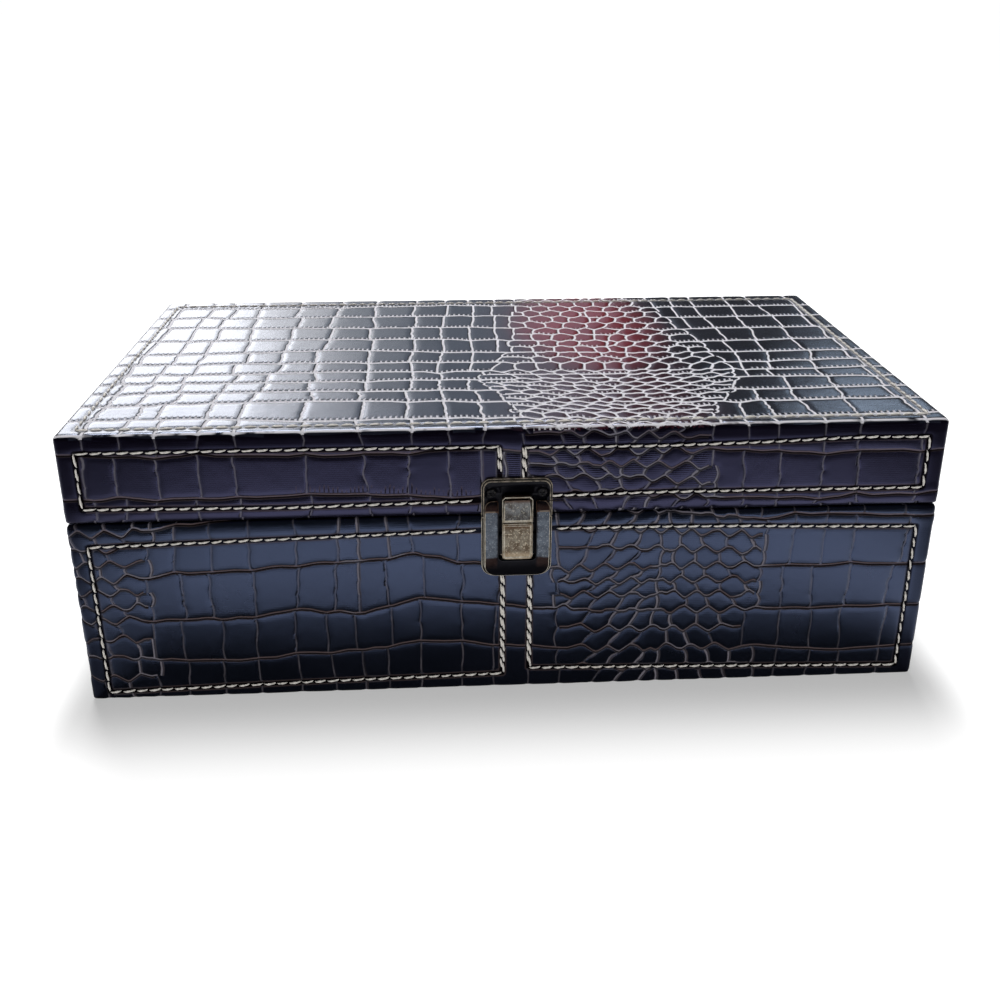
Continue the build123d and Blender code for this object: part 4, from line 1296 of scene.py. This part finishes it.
# %% Metal finishes
def plated(name, deep, face, worn, wear, rough, places=(), metallic=0.9, rims=()):
    """Antique plating: a face mottled with patina and small pits, then other tones by place.

    Each place is (axis, start, end, tone, share): the tone comes in while the distance along
    the axis goes from start to end. Axis "x" is distance from the latch's middle line, and
    "window" is distance outside the opening in the latch's frame. Each rim is the half width,
    top and corner radius of an outline painted bright over a third of a millimetre: worn
    plating and a painted highlight.
    """
    f = Finish(name)
    place = f.place()
    across, deep_in, tall = f.split(place)
    mottle = f.noise(place, 380.0, 5.0, 0.7, 0.4)
    grain = f.noise(f.stretched(place, (1.0, 1.0, 0.25)), 2200.0, 3.0, 0.6)
    pits = f.noise(place, 1150.0, 3.0, 0.7)
    tone = f.mix(mottle.step(0.35, 0.68), deep, face)
    tone = f.mix(pits.step(0.54, 0.66) * wear, tone, worn)
    beside = f.math("ABSOLUTE", across - latch_x * MM)
    window = f.most(beside - 8.4 * MM, 63 * MM - tall)
    ways = {"x": beside, "y": -deep_in, "z": tall, "window": window}
    for axis, start, end, other, share in places:
        broken = ways[axis] + (mottle - 0.5) * 0.0016
        tone = f.mix(broken.step(start * MM, end * MM) * share, tone, other)
    for half, top, radius in rims:
        over_x = f.most(beside - (half - radius) * MM, 0.0)
        over_z = f.most(tall - (top - radius) * MM, 0.0)
        gap = radius * MM - f.math("SQRT", over_x * over_x + over_z * over_z)
        # Worn plating and a painted highlight: a bright ring along each rim outline.
        ring = gap.step(0.40 * MM, 0.26 * MM) * gap.step(-0.12 * MM, 0.0)
        tone = f.mix(ring * (0.20 + mottle.step(0.36, 0.60) * 0.75), tone, (0.44, 0.38, 0.30))
    height = grain * 0.5 + pits * 0.8 + mottle * 0.6
    roughness = rough + mottle * 0.18
    return f.surface(Base_Color=tone, Metallic=metallic, Roughness=roughness, Normal=f.bump(height, 0.00006))


black_plate = (0.006, 0.006, 0.010)
rail_metal = plated(
    "latch_metal", (0.090, 0.105, 0.135), (0.170, 0.200, 0.245), (0.50, 0.52, 0.55), 0.5, 0.36,
    [("z", 85.0, 86.4, (0.085, 0.035, 0.022), 0.85), ("z", 65.8, 64.6, (0.034, 0.013, 0.009), 0.93),
     ("x", 8.6, 7.4, black_plate, 1.0), ("y", 99.2, 98.2, black_plate, 0.97)], 0.75)
nose_metal = plated(
    "latch_nose", (0.090, 0.080, 0.074), (0.235, 0.245, 0.255), (0.62, 0.58, 0.50), 0.6, 0.36,
    [("z", 89.2, 91.0, (0.10, 0.045, 0.025), 0.85), ("y", 99.4, 98.6, black_plate, 1.0)], 0.6,
    [(14.2, 98.4, 4), (13.4, 97.6, 3.2)])
button_metal = plated(
    "latch_button_metal", (0.115, 0.078, 0.050), (0.31, 0.275, 0.215), (0.80, 0.70, 0.54), 0.7, 0.36,
    [("z", 77.6, 79.6, (0.10, 0.045, 0.020), 0.85), ("z", 69.0, 66.0, (0.62, 0.48, 0.32), 0.6),
     ("y", 99.5, 98.9, black_plate, 1.0)], 0.6)
# The edge finish is pale and hardly metallic: worn plating and a painted highlight.
edge_tones = (0.42, 0.35, 0.25), (0.84, 0.79, 0.68), (0.96, 0.93, 0.86), 0.5, 0.4
worn_and_highlit_edge = plated("worn_and_highlit_edge", *edge_tones, (), 0.1)
frame_edge = plated(
    "frame_edge", *edge_tones,
    [("window", 0.6, 0.1, black_plate, 1.0), ("z", 84.6, 85.4, (0.10, 0.05, 0.03), 0.8)], 0.1)
button_edge = plated("button_edge", *edge_tones, [("y", 99.5, 98.9, black_plate, 1.0)], 0.1)
hinge_metal = plated(
    "hinge_metal", (0.10, 0.08, 0.06), (0.22, 0.19, 0.15), (0.5, 0.42, 0.3), 0.4, 0.38)
screw_metal = plated(
    "screw_metal", (0.010, 0.010, 0.012), (0.03, 0.03, 0.035), (0.2, 0.18, 0.16), 0.3, 0.4)
spring_steel = plated(
    "spring_steel", (0.35, 0.35, 0.36), (0.5, 0.5, 0.52), (0.7, 0.7, 0.72), 0.3, 0.3)


# %% Bevelled copies
def worn_copy(node, finish, body, width, edge=worn_and_highlit_edge, rubbed=None):
    """A merged copy of a CAD node with bevelled edges whose faces take the edge finish, pale with wear and a
    painted highlight.

    rubbed says by (distance from the latch's middle, y, z) in millimetres which sharp edges get a bevel.
    """
    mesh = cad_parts[node].data.copy()
    mesh.name = node + "_worn"
    made = bpy.data.objects.new(node + "_worn", mesh)
    bpy.context.scene.collection.objects.link(made)
    mesh.materials.clear()
    mesh.materials.append(finish)
    mesh.materials.append(edge)
    merged = bmesh.new()
    merged.from_mesh(mesh)
    bmesh.ops.remove_doubles(merged, verts=merged.verts, dist=0.002 * MM)
    bmesh.ops.dissolve_limit(merged, angle_limit=math.radians(1), verts=merged.verts, edges=merged.edges)
    weight = merged.edges.layers.float.new("bevel_weight_edge")
    for line in merged.edges:
        x, y, z = (line.verts[0].co + line.verts[1].co) / 2 / MM
        sharp = line.is_manifold and line.calc_face_angle() > math.radians(32)
        if sharp and (rubbed is None or rubbed(abs(x - latch_x), y, z)):
            line[weight] = 1.0
    merged.to_mesh(mesh)
    merged.free()
    round_off = made.modifiers.new("bevel", "BEVEL")
    round_off.width = width * MM
    round_off.segments = 2
    round_off.limit_method = "WEIGHT"
    round_off.material = 1
    round_off.harden_normals = False
    round_off.use_clamp_overlap = False
    baked = bpy.data.meshes.new_from_object(made.evaluated_get(bpy.context.evaluated_depsgraph_get()))
    made.modifiers.clear()
    made.data = baked
    baked.shade_smooth()
    baked.set_sharp_from_angle(angle=math.radians(40))
    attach(made, body)
    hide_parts(node)
    print(made.name, len(baked.polygons), "faces")
    return made


def on_nose(beside, y, z):
    return beside < 6.6 and y < -98.9


worn_copy("latch_housing", rail_metal, "base", 0.30, frame_edge)
worn_copy("latch_hasp", nose_metal, "lid", 0.36, worn_and_highlit_edge, on_nose)
worn_copy("latch_button", button_metal, "button", 0.45, button_edge)
for side in ("left", "right"):
    worn_copy(f"{side}_hinge_base_leaf", hinge_metal, "base", 0.18)
    worn_copy(f"{side}_hinge_lid_leaf", hinge_metal, "lid", 0.18)
    dress(f"{side}_hinge_pin", hinge_metal)
for name in ("housing_screws", "hasp_screws", "base_hinge_screws", "lid_hinge_screws"):
    dress(name, screw_metal)

# %% The spring
# It stands on a post of the base, and the button presses on its top.
spring = worn_copy("latch_spring", spring_steel, "base", 0.02)
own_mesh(spring)

# %% [markdown]
# ## Floor and light
#
# The box stands on a wide white floor that rises into a low white strip far away.
# A soft lamp above and a little behind gives the top full light, and tall panels
# behind it on the left are the bright shape that lies mirrored on the lid. A wide
# low lamp in front lights the walls and isn't mirrored itself.
#
# Leatherette this glossy looks like whatever it mirrors, so the floor has one look
# for the camera and another for mirrors. To the camera it is white, with a soft
# shadow round the foot. To mirrors it is dark at the foot of the box, white from
# about 5 to 17 cm ahead of it, and dark again further out and off both ends. The
# world is white to the camera only, so that nothing above washes out the walls.

# %% The floor
f = Finish("white_floor")
across, deep, _ = f.split(f.place())
beyond_x = f.most(f.math("ABSOLUTE", across) - half_x * MM, 0.0)
ahead = -deep - half_y * MM
beyond_y = f.most(ahead, (deep - half_y * MM) * 2.5, 0.0)
away = f.math("SQRT", beyond_x * beyond_x * 6 + beyond_y * beyond_y)
# Painted dark zones that only mirrors see, far ahead of the box and off both ends: there the floor's own
# colour is nearly black and its glow is off.
dark_in_mirrors = (ahead.step(0.168, 0.192) * 0.50 + ahead.step(0.235, 0.270) * 0.50) * ahead.step(3.0, 2.0)
dark_in_mirrors = dark_in_mirrors * beyond_x.step(0.40, 0.15)
ends = (across.step(-0.125, -0.265) + across.step(0.18, 0.31)) * ahead.step(0.0, 0.05) * 0.95
# For mirrors the glow starts only about 5 cm from the box: a painted shadow at the foot.
glow = (away + across.step(0.09, 0.17) * 0.016).step(0.048, 0.094) * (1 - dark_in_mirrors) * (1 - ends)
# Painted shadow for the camera: its white falls to 0.42 at the foot, on top of the real shadow in the floor's
# own light.
shown = 0.42 + away.step(0.0, 0.06) * 0.58
camera_ray, glossy_ray, through_ray = (
    f.node("ShaderNodeLightPath", out=name)
    for name in ("Is Camera Ray", "Is Glossy Ray", "Is Transmission Ray"))
seen = f.most(f.most(glossy_ray, through_ray) * glow, camera_ray * shown)
paper = f.mix(f.noise(f.place(), 6.0, 2.0), (0.44, 0.44, 0.44), (0.47, 0.47, 0.47))
floor_white = f.surface(
    Base_Color=f.mix(dark_in_mirrors, paper, (0.03, 0.03, 0.03)), Roughness=0.9, Specular_IOR_Level=0.0,
    Emission_Color=f.mix(seen, (0, 0, 0), (1, 1, 1)), Emission_Strength=1.0,
)
wide, near, far, lip = 40, -8, 24, 0.8
table_top = [(-wide, near, 0), (wide, near, 0), (wide, far, 0), (-wide, far, 0)]
mesh = bpy.data.meshes.new("floor")
mesh.from_pydata(table_top + [(-wide, far, lip), (wide, far, lip)], [], [(0, 1, 2, 3), (3, 2, 5, 4)])
mesh.materials.append(floor_white)
floor = bpy.data.objects.new("floor", mesh)
bpy.context.scene.collection.objects.link(floor)

# %% Lamps
box_middle = Vector((0, 0, 0.06))


def soft_box(name, place, width, height, brightness, tint=(1, 1, 1), mirrored=True):
    """A lamp aimed at the box, as bright as said: its power is the brightness times pi times its area."""
    lamp = bpy.data.lights.new(name, "AREA")
    lamp.shape = "RECTANGLE"
    lamp.size, lamp.size_y = width, height
    lamp.energy = brightness * math.pi * width * height
    lamp.color = tint
    made = bpy.data.objects.new(name, lamp)
    made.location = place
    made.rotation_euler = (box_middle - Vector(place)).to_track_quat("-Z", "Y").to_euler()
    made.visible_glossy = mirrored
    bpy.context.scene.collection.objects.link(made)


soft_box("key", (-0.2, 1.25, 1.85), 1.3, 1.0, 11.5)
soft_box("window", (-1.01, 2.5, 1.0), 0.92, 1.0, 5.2)
soft_box("window_edge", (-0.44, 2.5, 1.0), 0.22, 1.0, 2.1)
soft_box("wall_glow", (-0.22, 2.5, 1.0), 0.22, 1.0, 0.8, (0.88, 0.94, 1.0))
soft_box("wall_fade", (0.18, 2.5, 1.0), 0.60, 1.0, 0.40, (0.75, 0.86, 1.0))
soft_box("blue_side", (1.32, 2.4, 1.28), 0.5, 0.5, 2.2, (0.70, 0.85, 1.0))
soft_box("front_wall", (0.0, -2.0, 0.12), 3.2, 0.2, 13.0, mirrored=False)

world = bpy.data.worlds.new("room")
world.use_nodes = True
room = world.node_tree
background = room.nodes["Background"]
background.inputs["Color"].default_value = (1, 1, 1, 1)
rays = room.nodes.new("ShaderNodeLightPath")
strength = room.nodes.new("ShaderNodeMapRange")
strength.inputs["To Min"].default_value = 0.05
room.links.new(rays.outputs["Is Camera Ray"], strength.inputs["Value"])
room.links.new(strength.outputs["Result"], background.inputs["Strength"])
bpy.context.scene.world = world
